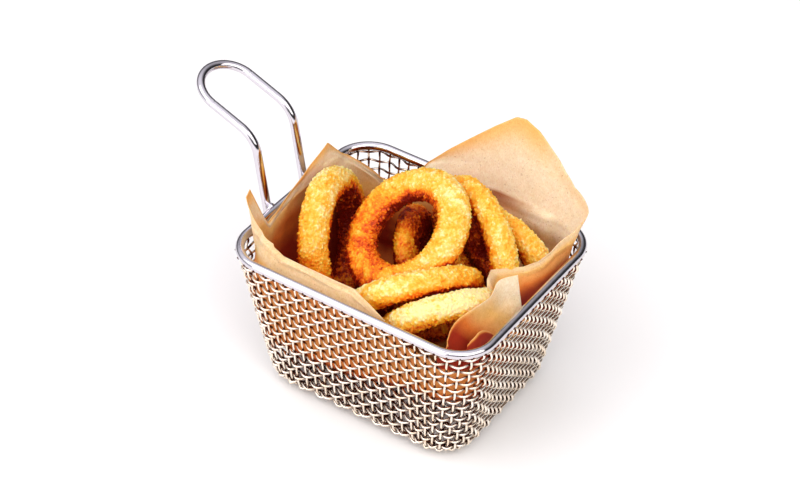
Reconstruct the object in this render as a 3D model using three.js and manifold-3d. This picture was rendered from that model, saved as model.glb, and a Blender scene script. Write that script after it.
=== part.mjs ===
// Onion rings standing in a small tapered wire serving basket, on a sheet of crumpled liner paper.
// Millimetres, +Z up, origin at the centre of the basket's underside. The basket's long side lies
// along X, and its handle leans out over the -X end.
import * as THREE from 'three';
import { mergeVertices } from 'three/addons/utils/BufferGeometryUtils.js';
import Module from 'manifold-3d';

// ---- driving dimensions --------------------------------------------------------------------
const RIM_HEIGHT = 77;            // centre line of the rim rod above the table
const RIM_HALF = [65, 54];        // centre line of the rim rod, half lengths along X and Y
const RIM_CORNER = 17.5;
const ROD_RADIUS = 2.1;
const GAP = 0.3;                  // left between neighbouring pieces

const BASE_HALF = [53.5, 42.5];   // outside of the woven wall, carried down to the table
const WALL_SLOPE = 13.2 / 77;     // outward lean of every wall
const BASE_CORNER = 17;
const TOP_CORNER = 19;
const EDGE_FILLET = 10;           // rounded edge between wall and floor
const WEAVE_THICKNESS = 2.2;

const HANDLE_X = -69.5;           // legs stand just outside the rim
const HANDLE_Y = -1.05;
const HANDLE_HALF_WIDTH = 14.3;
const HANDLE_FOOT = 4.5;          // the legs reach this far below the rim's centre line
const HANDLE_LEG = 28.1;          // straight run of a leg above the rim's centre line
const HANDLE_LENGTH = 74.5;       // rim centre line to the tip of the loop, along the rod
const HANDLE_LEAN = [10.8, 68.6]; // degrees from upright, of the legs and of the loop
const HANDLE_BEND = 14.9;

const PAPER_THICKNESS = 0.8;
const PAPER_RIM_HALF = [61.9, 50.9];
const PAPER_CORNER = 17;
const PAPER_FLOOR = 22.5;         // lowest part of the crumpled nest
const PAPER_FILLET = 9;

// Rings: centre, direction of the axis, centre line radius, radius of the coating, flatness of
// its section (wider across the ring when above 1), and how oval the ring is and which way.
const RINGS = [
  { centre: [-43.0, 1.1, 59.2], axis: [0.94, 0.28, 0.20], radius: 26.7, tube: 7.4, flat: 1.02 },
  { centre: [-3.5, 1.2, 81.5], axis: [-0.30, -0.56, 0.77], radius: 24.3, tube: 7.3, flat: 1.09,
    oval: -0.02, turn: -0.18 },
  { centre: [-9.9, 23.0, 50.4], axis: [0.88, 0.33, 0.33], radius: 16.9, tube: 6.6, flat: 1.17 },
  { centre: [18.6, 25.0, 67.6], axis: [-0.49, -0.87, 0.06], radius: 26.2, tube: 7.0, flat: 1.08,
    oval: 0.05, turn: -0.24 },
  { centre: [32.4, 35.2, 60.2], axis: [-0.24, -0.96, -0.12], radius: 19.6, tube: 6.7, flat: 1.10,
    oval: 0.04, turn: -0.05 },
  { centre: [12.9, -17.2, 66.3], axis: [-0.60, 0.49, 0.63], radius: 24.4, tube: 6.4, flat: 1.06,
    oval: 0.02, turn: -0.08 },
  { centre: [30.1, -21.5, 64.1], axis: [-0.63, 0.48, 0.60], radius: 21.3, tube: 6.7, flat: 1.04 },
];
const RING_STEPS = 44;            // faces along a ring
const SECTION_STEPS = 11;         // faces round its section
const CRAG_DEPTH = 0.12;          // deepest dent in the crust, as a share of the coating's radius

const wasm = await Module();
wasm.setup();

// ---- surfaces ------------------------------------------------------------------------------

/** Smooth rise from 0 to 1 while x goes from a to b. */
const rise = (a, b, x) => THREE.MathUtils.smoothstep(x, a, b);

/** A closed solid from faces over a list of points; doubled points are merged. */
function solid(points, faces) {
  const geometry = new THREE.BufferGeometry();
  geometry.setAttribute('position', new THREE.Float32BufferAttribute(points.flat(), 3));
  geometry.setIndex(faces.flat());
  return mergeVertices(geometry, 1e-4);
}

/** Faces of a grid of points, index = row * columns + column; each direction may close on itself. */
function gridFaces(rows, columns, closedRows, closedColumns, first = 0, flip = false) {
  const faces = [];
  for (let row = 0; row < (closedRows ? rows : rows - 1); row++) {
    for (let column = 0; column < (closedColumns ? columns : columns - 1); column++) {
      const nextRow = (row + 1) % rows;
      const nextColumn = (column + 1) % columns;
      const a = first + row * columns + column;
      const b = first + row * columns + nextColumn;
      const c = first + nextRow * columns + nextColumn;
      const d = first + nextRow * columns + column;
      faces.push(...(flip ? [[a, c, b], [a, d, c]] : [[a, b, c], [a, c, d]]));
    }
  }
  return faces;
}

/** A ring-shaped solid: point(u, v) with u and v both going round once from 0 to 1. */
function loopSolid(rows, columns, point) {
  const points = [];
  for (let row = 0; row < rows; row++) {
    for (let column = 0; column < columns; column++) points.push(point(row / rows, column / columns));
  }
  return solid(points, gridFaces(rows, columns, true, true, 0, true));
}

/**
 * A thin sheet as a solid: middle(u, v) is its mid surface, given at the values us and vs, and each
 * face lies half a thickness off it along the normal. u may close on itself, and the row at the
 * last v may shrink to one point, the middle of a dish.
 */
function sheetSolid(us, vs, middle, thickness, closed) {
  const h = 1e-4;
  const at = (u, v) => new THREE.Vector3(...middle(u, v));
  const columns = us.length;
  const sides = [1, -1].map((side) => vs.map((v) => us.map((u) => {
    const v0 = Math.min(v, 1 - 2 * h);
    const along = at(u + h, v0).sub(at(u - h, v0));
    const across = at(u, v0 + h).sub(at(u, v0));
    const normal = along.cross(across).normalize();
    return at(u, v).addScaledVector(normal, side * thickness / 2).toArray();
  })));
  const points = sides.flat(2);
  const half = columns * vs.length;
  const faces = [
    ...gridFaces(vs.length, columns, false, closed, 0),
    ...gridFaces(vs.length, columns, false, closed, half, true),
  ];
  const edge = (list) => {
    for (let i = 0; i + 1 < list.length; i++) {
      const [a, b] = [list[i], list[i + 1]];
      faces.push([a, a + half, b + half], [a, b + half, b]);
    }
  };
  const row = (r) => [...Array(columns).keys()].map((c) => r * columns + c);
  const column = (c) => [...Array(vs.length).keys()].map((r) => r * columns + c);
  edge(closed ? [...row(0), 0] : row(0));
  if (!closed) {
    edge(row(vs.length - 1).reverse());
    edge(column(0).reverse());
    edge(column(columns - 1));
  } else {
    const lastRow = row(vs.length - 1);
    for (const [offset, side] of [[0, 0], [half, 1]]) {
      const pole = sides[side][vs.length - 1];
      const middlePoint = [0, 1, 2].map((k) => pole.reduce((sum, p) => sum + p[k], 0) / columns);
      lastRow.forEach((index) => { points[offset + index] = middlePoint; });
    }
  }
  return solid(points, faces);
}

/** Drops the faces that merging made thin to nothing. */
function withoutSlivers(geometry) {
  const index = geometry.index.array;
  const kept = [];
  for (let i = 0; i < index.length; i += 3) {
    const [a, b, c] = [index[i], index[i + 1], index[i + 2]];
    if (a !== b && b !== c && c !== a) kept.push(a, b, c);
  }
  geometry.setIndex(kept);
  return geometry;
}

/** A solid for cutting and joining, from a closed geometry. */
function toManifold(geometry) {
  return new wasm.Manifold(new wasm.Mesh({
    numProp: 3,
    vertProperties: new Float32Array(geometry.attributes.position.array),
    triVerts: new Uint32Array(geometry.index.array),
  }));
}

function fromManifold(body) {
  const mesh = body.getMesh();
  const geometry = new THREE.BufferGeometry();
  geometry.setAttribute('position', new THREE.BufferAttribute(mesh.vertProperties, 3));
  geometry.setIndex(new THREE.BufferAttribute(mesh.triVerts, 1));
  return geometry;
}

// ---- rounded rectangle ---------------------------------------------------------------------
// Places round the basket are given on one reference outline, the paper's at the rim, as a length
// that starts at the front side's left end and runs past +X, back, -X and home again.
const SIDE = [0, 1].map((k) => 2 * (PAPER_RIM_HALF[k] - PAPER_CORNER));
const ARC = Math.PI / 2 * PAPER_CORNER;
const START = [0, SIDE[0] + ARC, SIDE[0] + SIDE[1] + 2 * ARC, 2 * SIDE[0] + SIDE[1] + 3 * ARC];
const ROUND = 2 * (SIDE[0] + SIDE[1]) + 4 * ARC;
const front = (x) => START[0] + x + SIDE[0] / 2;
const right = (y) => START[1] + y + SIDE[1] / 2;
const back = (x) => START[2] + SIDE[0] / 2 - x;
const left = (y) => START[3] + SIDE[1] / 2 - y;
const corner = (number, share) => START[number] + SIDE[number % 2] + share * ARC;

/** Point and outward normal of a rounded rectangle at a place given on the reference outline. */
function outline(half, radius, place) {
  const t = ((place % ROUND) + ROUND) % ROUND;
  const side = START.findLastIndex((start) => t >= start);
  const turn = side * Math.PI / 2;
  const length = SIDE[side % 2];
  const along = Math.min((t - START[side]) / length, 1);
  const bend = Math.max(t - START[side] - length, 0) / PAPER_CORNER;
  const reach = half[side % 2] - radius;
  const depth = half[(side + 1) % 2] - radius;
  const x = reach * (2 * along - 1) + radius * Math.sin(bend);
  const y = -depth - radius * Math.cos(bend);
  const [c, s] = [Math.cos(turn), Math.sin(turn)];
  return {
    point: [c * x - s * y, s * x + c * y],
    normal: [Math.sin(bend + turn), -Math.cos(bend + turn)],
  };
}

// ---- basket --------------------------------------------------------------------------------

/** Half lengths of the woven wall's outside at a height, less an inset. */
const wallHalf = (height, inset = 0) => BASE_HALF.map((half) => half + WALL_SLOPE * height - inset);
const wallCorner = (height) => BASE_CORNER + (TOP_CORNER - BASE_CORNER) * height / RIM_HEIGHT;

/** One woven shell with the rounded lower edge, open at the top, as a closed thin solid. */
function basketShell() {
  const top = RIM_HEIGHT - ROD_RADIUS - GAP;
  const filletSteps = 3;
  const wallSteps = 3;
  const profile = [];             // inset from the outside wall line, and height
  const face = (inset, floor, radius) => {
    const rows = [];
    for (let i = 0; i <= filletSteps; i++) {
      const angle = Math.PI / 2 * i / filletSteps;
      rows.push([inset + radius * (1 - Math.sin(angle)), floor + radius * (1 - Math.cos(angle))]);
    }
    for (let i = 1; i <= wallSteps; i++) {
      rows.push([inset, floor + radius + (top - floor - radius) * i / wallSteps]);
    }
    return rows;
  };
  profile.push(...face(0, 0, EDGE_FILLET));
  profile.push(...face(WEAVE_THICKNESS, WEAVE_THICKNESS, EDGE_FILLET - WEAVE_THICKNESS).reverse());
  const places = outlinePlaces(4, 4, 5);
  const points = profile.flatMap(([inset, height]) => places.map((place) => {
    const radius = Math.max(wallCorner(height) - inset, 2);
    return [...outline(wallHalf(height, inset), radius, place).point, height];
  }));
  const faces = gridFaces(profile.length, places.length, false, true);
  const lastRow = (profile.length - 1) * places.length;
  const below = points.push([0, 0, 0]) - 1;
  const above = points.push([0, 0, WEAVE_THICKNESS]) - 1;
  for (let i = 0; i < places.length; i++) {
    const next = (i + 1) % places.length;
    faces.push([below, next, i], [above, lastRow + i, lastRow + next]);
  }
  return solid(points, faces);
}

/** Places round the outline, with so many steps on the long sides, short sides and corners. */
function outlinePlaces(longSteps, shortSteps, cornerSteps) {
  const places = [];
  START.forEach((start, side) => {
    const steps = side % 2 ? shortSteps : longSteps;
    for (let i = 0; i < steps; i++) places.push(start + SIDE[side % 2] * i / steps);
    for (let i = 0; i < cornerSteps; i++) places.push(corner(side, i / cornerSteps));
  });
  return places;
}

/** The rod bent into the rim, closed on itself. */
function rimRod() {
  const places = outlinePlaces(2, 2, 8);
  const sectionSteps = 10;
  return loopSolid(places.length, sectionSteps, (u, v) => {
    const { point, normal } = outline(RIM_HALF, RIM_CORNER, places[Math.round(u * places.length)]);
    const angle = 2 * Math.PI * v;
    const out = ROD_RADIUS * Math.cos(angle);
    return [point[0] + normal[0] * out, point[1] + normal[1] * out,
      RIM_HEIGHT + ROD_RADIUS * Math.sin(angle)];
  });
}

/** Up one leg, out over the bend, round the loop and back down the other leg. */
class HandlePath extends THREE.Curve {
  /** Place of a distance along the side view: x and z. */
  sideView(distance) {
    const [lean, loopLean] = HANDLE_LEAN.map(THREE.MathUtils.degToRad);
    const bendLength = HANDLE_BEND * (loopLean - lean);
    const leg = Math.min(distance, HANDLE_LEG);
    const bend = lean + Math.min(Math.max(distance - HANDLE_LEG, 0), bendLength) / HANDLE_BEND;
    const loop = Math.max(distance - HANDLE_LEG - bendLength, 0);
    return [
      HANDLE_X - leg * Math.sin(lean) - HANDLE_BEND * (Math.cos(lean) - Math.cos(bend))
        - loop * Math.sin(loopLean),
      RIM_HEIGHT + leg * Math.cos(lean) + HANDLE_BEND * (Math.sin(bend) - Math.sin(lean))
        + loop * Math.cos(loopLean),
    ];
  }

  getPoint(t, target = new THREE.Vector3()) {
    const straight = HANDLE_FOOT + HANDLE_LENGTH - HANDLE_HALF_WIDTH;
    const total = 2 * straight + Math.PI * HANDLE_HALF_WIDTH;
    const s = t * total;
    const turn = THREE.MathUtils.clamp((s - straight) / HANDLE_HALF_WIDTH, 0, Math.PI);
    const leg = s < total / 2 ? Math.min(s, straight) : Math.min(total - s, straight);
    const distance = leg - HANDLE_FOOT + HANDLE_HALF_WIDTH * Math.sin(turn);
    const [x, z] = this.sideView(distance);
    return target.set(x, HANDLE_Y - HANDLE_HALF_WIDTH * Math.cos(turn), z);
  }
}

function handleRod() {
  const section = new THREE.Shape().absarc(0, 0, ROD_RADIUS, 0, 2 * Math.PI);
  const geometry = new THREE.ExtrudeGeometry(section, {
    steps: 44, curveSegments: 5, bevelEnabled: false, extrudePath: new HandlePath(),
  });
  geometry.deleteAttribute('normal');
  geometry.deleteAttribute('uv');
  return withoutSlivers(mergeVertices(geometry, 1e-4));
}

// ---- paper ---------------------------------------------------------------------------------
// The sheet's upper edge round the basket: place, height, and how far it leans in past the line
// of the rim (out where negative). It runs straight from each entry to the next.
const PAPER_EDGE = [
  [front(-38), 83, 4.2], [front(0), 83, 3.9], [front(10), 80, 2], [front(17), 77, 0.8],
  [front(27), 67, 0.8], [front(42), 64, 1.2],
  [corner(0, 0.5), 65, 1], [right(-14), 67, 1], [right(-9), 76, 4], [right(-3), 81.5, 20],
  [right(6), 81, 17], [right(13), 81, 11], [right(21), 82, 6.5], [right(34), 84, 5],
  [corner(1, 0.4), 85, 3], [corner(1, 0.75), 89.6, -4],
  [back(45), 99, -5.5], [back(27), 116.5, -9.5], [back(15), 118.2, -10], [back(-6), 100, -5.7],
  [back(-25), 81, -0.8], [back(-33), 68, 1], [back(-40), 62, 1],
  [corner(2, 0.2), 64, 1], [left(34), 81, 0], [left(26), 90.7, -2.6], [left(-6), 82.5, -1],
  [left(-25), 77, 0], [left(-28), 83, -0.6], [left(-31), 97.5, -5.5], [corner(3, 0.05), 96, -4.5],
  [corner(3, 0.3), 84, 6], [corner(3, 0.8), 82.5, 9],
].map(([place, height, inward]) => ({ place, height, inward }));

/** Height and lean of the paper's edge at a place. */
function paperEdge(place) {
  const t = ((place % ROUND) + ROUND) % ROUND;
  const last = PAPER_EDGE.length - 1;
  const after = PAPER_EDGE.findIndex((entry) => entry.place > t);
  const [a, b] = after > 0 ? [PAPER_EDGE[after - 1], PAPER_EDGE[after]]
    : [PAPER_EDGE[last], PAPER_EDGE[0]];
  const span = (b.place - a.place + ROUND) % ROUND;
  const share = ((t - a.place + ROUND) % ROUND) / span;
  return {
    height: a.height + (b.height - a.height) * share,
    inward: a.inward + (b.inward - a.inward) * share,
  };
}

/** The crumpled floor of the nest: low at the handle's end, rising to +X, with a ridge in front. */
function paperFloor(x, y) {
  const swell = (cx, cy, wide, deep) => Math.exp(-(((x - cx) / wide) ** 2) - ((y - cy) / deep) ** 2);
  return PAPER_FLOOR + 10.4 * rise(-14, 30, x) + 4 * rise(10, 45, x) * rise(15, 45, -y)
    + 15.2 * swell(4, -9, 19, 12) + 2 * swell(17, 24, 9, 9);
}

/** Half lengths of the paper's middle surface at a height: along the wall, then in past the rod. */
function paperHalf(height) {
  const off = WEAVE_THICKNESS + GAP + PAPER_THICKNESS / 2;
  const pull = wallHalf(RIM_HEIGHT, off)[0] - PAPER_RIM_HALF[0];
  return wallHalf(Math.min(height, RIM_HEIGHT), off)
    .map((half) => half - pull * rise(58, RIM_HEIGHT - 2, height));
}

/**
 * The liner's middle surface. v = 0 is the upper edge, v = 0.25 the height of the rim rod's top,
 * the wall runs down to v = 0.6, the fillet to 0.75, and the floor to its middle at v = 1.
 */
function paperPoint(place, v) {
  const [waistAt, wallEnd, filletEnd] = [0.25, 0.6, 0.75];
  const edge = paperEdge(place);
  const foot = outline(paperHalf(PAPER_FLOOR + PAPER_FILLET), PAPER_CORNER, place).point;
  const floorAt = (share) => paperFloor(foot[0] * share, foot[1] * share);
  const turnHeight = floorAt(0.9) + PAPER_FILLET;
  if (v <= wallEnd) {
    const waist = Math.min(RIM_HEIGHT + ROD_RADIUS, edge.height - 4);
    const height = v < waistAt ? THREE.MathUtils.lerp(edge.height, waist, v / waistAt)
      : THREE.MathUtils.lerp(waist, turnHeight, (v - waistAt) / (wallEnd - waistAt));
    const start = edge.inward < 0 ? RIM_HEIGHT + ROD_RADIUS : Math.min(64, edge.height - 6);
    const lean = Math.max(height - start, 0) / Math.max(edge.height - start, 1);
    const inward = edge.inward * (edge.inward < 0 ? lean : lean ** 1.4);
    const { point, normal } = outline(paperHalf(height), PAPER_CORNER, place);
    return [point[0] - normal[0] * inward, point[1] - normal[1] * inward, height];
  }
  const { point, normal } = outline(paperHalf(turnHeight), PAPER_CORNER, place);
  const filletAngle = Math.PI / 2 * Math.min((v - wallEnd) / (filletEnd - wallEnd), 1);
  const inset = PAPER_FILLET * (1 - Math.cos(filletAngle));
  const rim = [point[0] - normal[0] * inset, point[1] - normal[1] * inset];
  if (v <= filletEnd) return [...rim, turnHeight - PAPER_FILLET * Math.sin(filletAngle)];
  const share = (1 - v) / (1 - filletEnd);
  const [x, y] = rim.map((value) => value * share);
  const blend = rise(0.7, 1, share);
  return [x, y, paperFloor(x, y) * (1 - blend) + (turnHeight - PAPER_FILLET) * blend];
}

// The near corner's curl: a strip of the sheet that stands on the wall between two places, rolls
// inward over the corner, and ends in this free edge, from the +X side round to the front.
const CURL_EDGE = new THREE.CatmullRomCurve3([
  [57.2, -4.2, 90], [51.4, -10.6, 88.2], [52.2, -18, 84.6], [50.2, -28.5, 84.2],
  [47.6, -35.6, 82.2], [46.4, -40.3, 79], [47.2, -44.2, 76], [49, -46.6, 74.5],
].map((p) => new THREE.Vector3(...p)));
const CURL_FOOT = [right(-2), front(44)];
const CURL_FOOT_HEIGHT = 63;

/** u runs along the curl from the +X side to the front, v from the free edge down to the foot. */
function curlPoint(u, v) {
  const edge = CURL_EDGE.getPoint(THREE.MathUtils.clamp(u, 0, 1));
  const place = THREE.MathUtils.lerp(...CURL_FOOT, u);
  const foot = outline(paperHalf(CURL_FOOT_HEIGHT), PAPER_CORNER, place).point;
  const hollow = 5.5 * Math.sin(Math.PI * THREE.MathUtils.clamp(u, 0, 1)) * Math.sin(Math.PI * v);
  return [
    THREE.MathUtils.lerp(edge.x, foot[0], v),
    THREE.MathUtils.lerp(edge.y, foot[1], v),
    THREE.MathUtils.lerp(edge.z, CURL_FOOT_HEIGHT, v) - hollow,
  ];
}

function paperLiner() {
  const places = new Set(PAPER_EDGE.map((entry) => entry.place));
  const list = [...places].sort((a, b) => a - b);
  const widest = 8;
  const columns = list.flatMap((place, i) => {
    const next = i + 1 < list.length ? list[i + 1] : list[0] + ROUND;
    const steps = Math.ceil((next - place) / widest);
    return [...Array(steps).keys()].map((k) => place + (next - place) * k / steps);
  });
  const rows = [0, 0.08, 0.16, 0.25, 0.29, 0.36, 0.47, 0.6, 0.67, 0.75, 0.82, 0.91, 1];
  const dish = sheetSolid(columns, rows, paperPoint, PAPER_THICKNESS, true);
  const steps = (count) => [...Array(count + 1).keys()].map((k) => k / count);
  const curl = sheetSolid(steps(12), steps(7), curlPoint, PAPER_THICKNESS, false);
  return fromManifold(toManifold(withoutSlivers(dish)).add(toManifold(withoutSlivers(curl))));
}

// ---- onion rings ---------------------------------------------------------------------------

/** Uneven crust: 0 on the crags and 1 in the deepest dents, different for every ring. */
function crust(number, around, section) {
  const random = seededRandom(number + 1);
  let sum = 0;
  for (const [waves, turns, size] of [[3, 1, 0.9], [7, 2, 1], [12, 3, 1], [17, 4, 0.8], [20, 1, 0.7]]) {
    sum += size * Math.sin(waves * around + turns * section + 2 * Math.PI * random())
      * Math.cos((turns + 1) * section - 2 * Math.PI * random());
  }
  return THREE.MathUtils.clamp(0.5 + sum / 4, 0, 1);
}

/** Repeatable draws from 0 to 1. */
function seededRandom(seed) {
  let state = seed * 7919;
  return () => {
    state = (state * 16807) % 2147483647;
    return state / 2147483647;
  };
}

function onionRing(ring, number) {
  const { centre, axis, radius, tube, flat = 1, oval = 0, turn = 0 } = ring;
  const normal = new THREE.Vector3(...axis).normalize();
  const level = new THREE.Vector3(0, 0, 1).cross(normal).normalize();
  const upright = normal.clone().cross(level);
  return loopSolid(RING_STEPS, SECTION_STEPS, (u, v) => {
    const around = 2 * Math.PI * u;
    const section = 2 * Math.PI * v;
    const line = (angle) => {
      const p = radius * (1 + oval) * Math.cos(angle);
      const q = radius * (1 - oval) * Math.sin(angle);
      return new THREE.Vector3()
        .addScaledVector(level, p * Math.cos(turn) - q * Math.sin(turn))
        .addScaledVector(upright, p * Math.sin(turn) + q * Math.cos(turn));
    };
    const point = line(around);
    const forward = line(around + 1e-3).sub(point).normalize();
    const outward = forward.clone().cross(normal);
    const size = tube * (1.02 - CRAG_DEPTH * crust(number, around, section));
    return new THREE.Vector3(...centre).add(point)
      .addScaledVector(outward, size * flat * Math.cos(section))
      .addScaledVector(normal, size / flat * Math.sin(section)).toArray();
  });
}

// ---- the part ------------------------------------------------------------------------------
const steel = { color: 0xc9c6cc, roughness: 0.2, metalness: 1 };
const woven = { color: 0xb9a795, roughness: 0.35, metalness: 1 };
const kraft = { color: 0xe8c596, roughness: 0.85, metalness: 0 };
const fried = { color: 0xf2bd4e, roughness: 0.75, metalness: 0 };

const part = new THREE.Group();

function add(name, geometry, finish) {
  const mesh = new THREE.Mesh(geometry, new THREE.MeshStandardMaterial(finish));
  mesh.name = name;
  part.add(mesh);
}

add('basket_shell', basketShell(), woven);
add('rim_rod', rimRod(), steel);
add('handle_rod', handleRod(), steel);
add('paper_liner', paperLiner(), kraft);
RINGS.forEach((ring, number) => add(`onion_ring_${number + 1}`, onionRing(ring, number), fried));

export default part;
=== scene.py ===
# %% [markdown]
# # Onion rings in a small wire serving basket
#
# The object is one portion of crumbed onion rings on a crumpled sheet of liner paper, standing in a
# tapered basket that is woven from steel wire, with a bent rod for a rim and one for a handle.
#
# The solid model comes first, as a fixed frame in metres: it says where everything is. The cells
# below put a fine surface in each solid's place. Shapes are worked out in millimetres, because the
# real things are measured that way, and become metres at the moment a mesh is made.

import bpy
import numpy as np
from mathutils import Matrix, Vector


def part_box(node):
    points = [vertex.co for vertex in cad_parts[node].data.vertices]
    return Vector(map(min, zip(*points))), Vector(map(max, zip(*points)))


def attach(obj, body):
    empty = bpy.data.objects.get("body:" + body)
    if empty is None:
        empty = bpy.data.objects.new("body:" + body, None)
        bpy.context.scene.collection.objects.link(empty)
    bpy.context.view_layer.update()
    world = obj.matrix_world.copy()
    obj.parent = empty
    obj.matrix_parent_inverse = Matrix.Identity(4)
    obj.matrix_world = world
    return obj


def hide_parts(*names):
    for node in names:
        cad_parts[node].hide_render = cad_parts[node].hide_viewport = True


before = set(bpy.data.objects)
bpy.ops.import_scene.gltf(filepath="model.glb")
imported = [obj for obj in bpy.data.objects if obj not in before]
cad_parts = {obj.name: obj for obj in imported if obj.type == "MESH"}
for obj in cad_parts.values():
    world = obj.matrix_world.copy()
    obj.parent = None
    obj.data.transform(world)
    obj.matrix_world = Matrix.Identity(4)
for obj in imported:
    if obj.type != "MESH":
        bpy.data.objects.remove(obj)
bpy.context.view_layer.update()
print("solids in the frame:", ", ".join(sorted(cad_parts)))

# %% [markdown]
# ## From formulas to meshes
#
# A mesh could be modelled by hand or with operators, but every piece here is a surface that a short
# formula describes: a point for each pair of numbers (u, v) on a grid. numpy works out all the
# points at once, and foreach_set copies whole arrays into the mesh, which is far quicker than a
# loop over vertices and keeps the formula in plain sight.

# %% Grid faces and mesh making
MM = 0.001                      # the shapes are in millimetres, Blender is in metres


def grid_faces(rows, columns, close_rows=False, close_columns=False, first=0, flip=False):
    """Four-sided faces between neighbours of a grid; point (row, column) is row * columns + column.

    A closed direction joins its last row or column to the first. The array has one face a line.
    """
    row = np.arange(rows if close_rows else rows - 1)[:, None]
    column = np.arange(columns if close_columns else columns - 1)[None, :]
    next_row, next_column = (row + 1) % rows, (column + 1) % columns
    corners = np.broadcast_arrays(row * columns + column, row * columns + next_column,
                                  next_row * columns + next_column, next_row * columns + column)
    faces = np.stack(corners, axis=-1).reshape(-1, 4) + first
    return faces[:, ::-1] if flip else faces


def fan(loop, middle, flip=False):
    """Triangles from the steps of closed loops of points to the loops' middle points."""
    middle = np.broadcast_to(np.expand_dims(middle, -1), loop.shape)
    triangles = np.stack([loop, np.roll(loop, -1, axis=-1), middle], axis=-1).reshape(-1, 3)
    return triangles[:, ::-1] if flip else triangles


def new_piece(name, points, faces, attributes=None, material=None, smooth=True):
    """A mesh object from points in millimetres, lists of faces, and one number a point by name."""
    mesh = bpy.data.meshes.new(name)
    points = np.asarray(points, dtype=np.float32).reshape(-1, 3) * MM
    loops = np.concatenate([np.asarray(block).ravel() for block in faces])
    totals = np.concatenate([np.full(len(block), np.shape(block)[1]) for block in faces])
    mesh.vertices.add(len(points))
    mesh.vertices.foreach_set("co", points.ravel())
    mesh.loops.add(len(loops))
    mesh.loops.foreach_set("vertex_index", loops.astype(np.int32))
    mesh.polygons.add(len(totals))
    mesh.polygons.foreach_set("loop_start", (np.cumsum(totals) - totals).astype(np.int32))
    mesh.polygons.foreach_set("loop_total", totals.astype(np.int32))
    mesh.polygons.foreach_set("use_smooth", np.full(len(totals), smooth))
    mesh.update(calc_edges=True)
    mesh.validate()
    for key, values in (attributes or {}).items():
        layer = mesh.attributes.new(key, "FLOAT", "POINT")
        layer.data.foreach_set("value", np.asarray(values, dtype=np.float32).ravel())
    if material:
        mesh.materials.append(material)
    piece = bpy.data.objects.new(name, mesh)
    bpy.context.scene.collection.objects.link(piece)
    print(f"{name}: {len(points)} points, {int(np.sum(totals - 2))} triangles")
    return piece


def unit(vectors):
    """Each vector divided by its own length."""
    return vectors / np.maximum(np.linalg.norm(vectors, axis=-1, keepdims=True), 1e-9)


def lifted(flat, height):
    """Points of x and y with a height as their z."""
    height = np.broadcast_to(height, flat.shape[:-1])
    return np.concatenate([flat, height[..., None]], axis=-1)


def ahead(points, closed):
    """From the neighbour behind each point to the one in front of it, along the second axis."""
    if closed:
        return np.roll(points, -1, axis=1) - np.roll(points, 1, axis=1)
    return np.gradient(points, axis=1)


def rise(low, high, x):
    """Smooth step: 0 up to low, 1 from high on, and 3t^2 - 2t^3 between them."""
    t = np.clip((x - low) / (high - low), 0, 1)
    return t * t * (3 - 2 * t)


# %% [markdown]
# ## Random numbers that stay the same
#
# Crumbs, creases and specks should look random, yet every run has to give the same basket. So the
# randomness is a hash: a whole-numbered point of space always gives the same number. Smoothly
# mixed between the points it is value noise, and with one dot in each cell it gives round grains.

# %% Noise and grains
GRAIN_REACH = 0.55              # squared distance, in cells, at which a grain ends


def lattice(cell, seed):
    """A repeatable number from 0 to 1 for each whole-numbered point, by mixing its bits."""
    n = (cell[..., 0] * 73856093) ^ (cell[..., 1] * 19349663) ^ (cell[..., 2] * 83492791)
    n = (n ^ (seed * 40503)) & 0x7FFFFFFF
    n = ((n ^ (n >> 15)) * 1103515245 + 12345) & 0x7FFFFFFF
    n = ((n ^ (n >> 13)) * 1274126177) & 0x7FFFFFFF
    return ((n ^ (n >> 16)) & 0xFFFF) / 65535


def noise(points, size, seed):
    """Value noise from -1 to 1: the eight corners of a cell, mixed by smooth weights."""
    p = points / size
    cell = np.floor(p).astype(np.int64)
    t = rise(0, 1, p - cell)
    total = 0
    for offset in np.ndindex(2, 2, 2):
        weight = np.prod(np.where(np.equal(offset, 1), t, 1 - t), axis=-1)
        total = total + weight * lattice(cell + offset, seed)
    return 2 * total - 1


def grains(points, size, seed):
    """Height 1 in the middle of a grain and 0 between grains, and a random number for each grain.

    Every cell of space holds one dot at a random place, and a point belongs to its nearest dot.
    """
    p = points / size
    cell = np.floor(p).astype(np.int64)
    nearest = np.full(p.shape[:-1], np.inf)
    tone = np.zeros(p.shape[:-1])
    for offset in np.ndindex(3, 3, 3):
        other = cell + offset - 1
        dot = other + np.stack([lattice(other, seed + k) for k in range(3)], axis=-1)
        distance = np.sum((p - dot) ** 2, axis=-1)
        closer = distance < nearest
        nearest = np.where(closer, distance, nearest)
        tone = np.where(closer, lattice(other, seed + 3), tone)
    return np.clip(1 - nearest / GRAIN_REACH, 0, 1), tone


print("noise at three points:", np.round(noise(np.eye(3) * 7.3, 2.0, 1), 3))

# %% [markdown]
# ## Tubes along paths
#
# Wires, rim and handle are all round rods that follow a line. Blender's curves with a bevel would
# do, but hundreds of wires are quicker as one mesh: at each point of a path stands a circle, square
# to the path, and neighbouring circles are joined.

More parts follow.
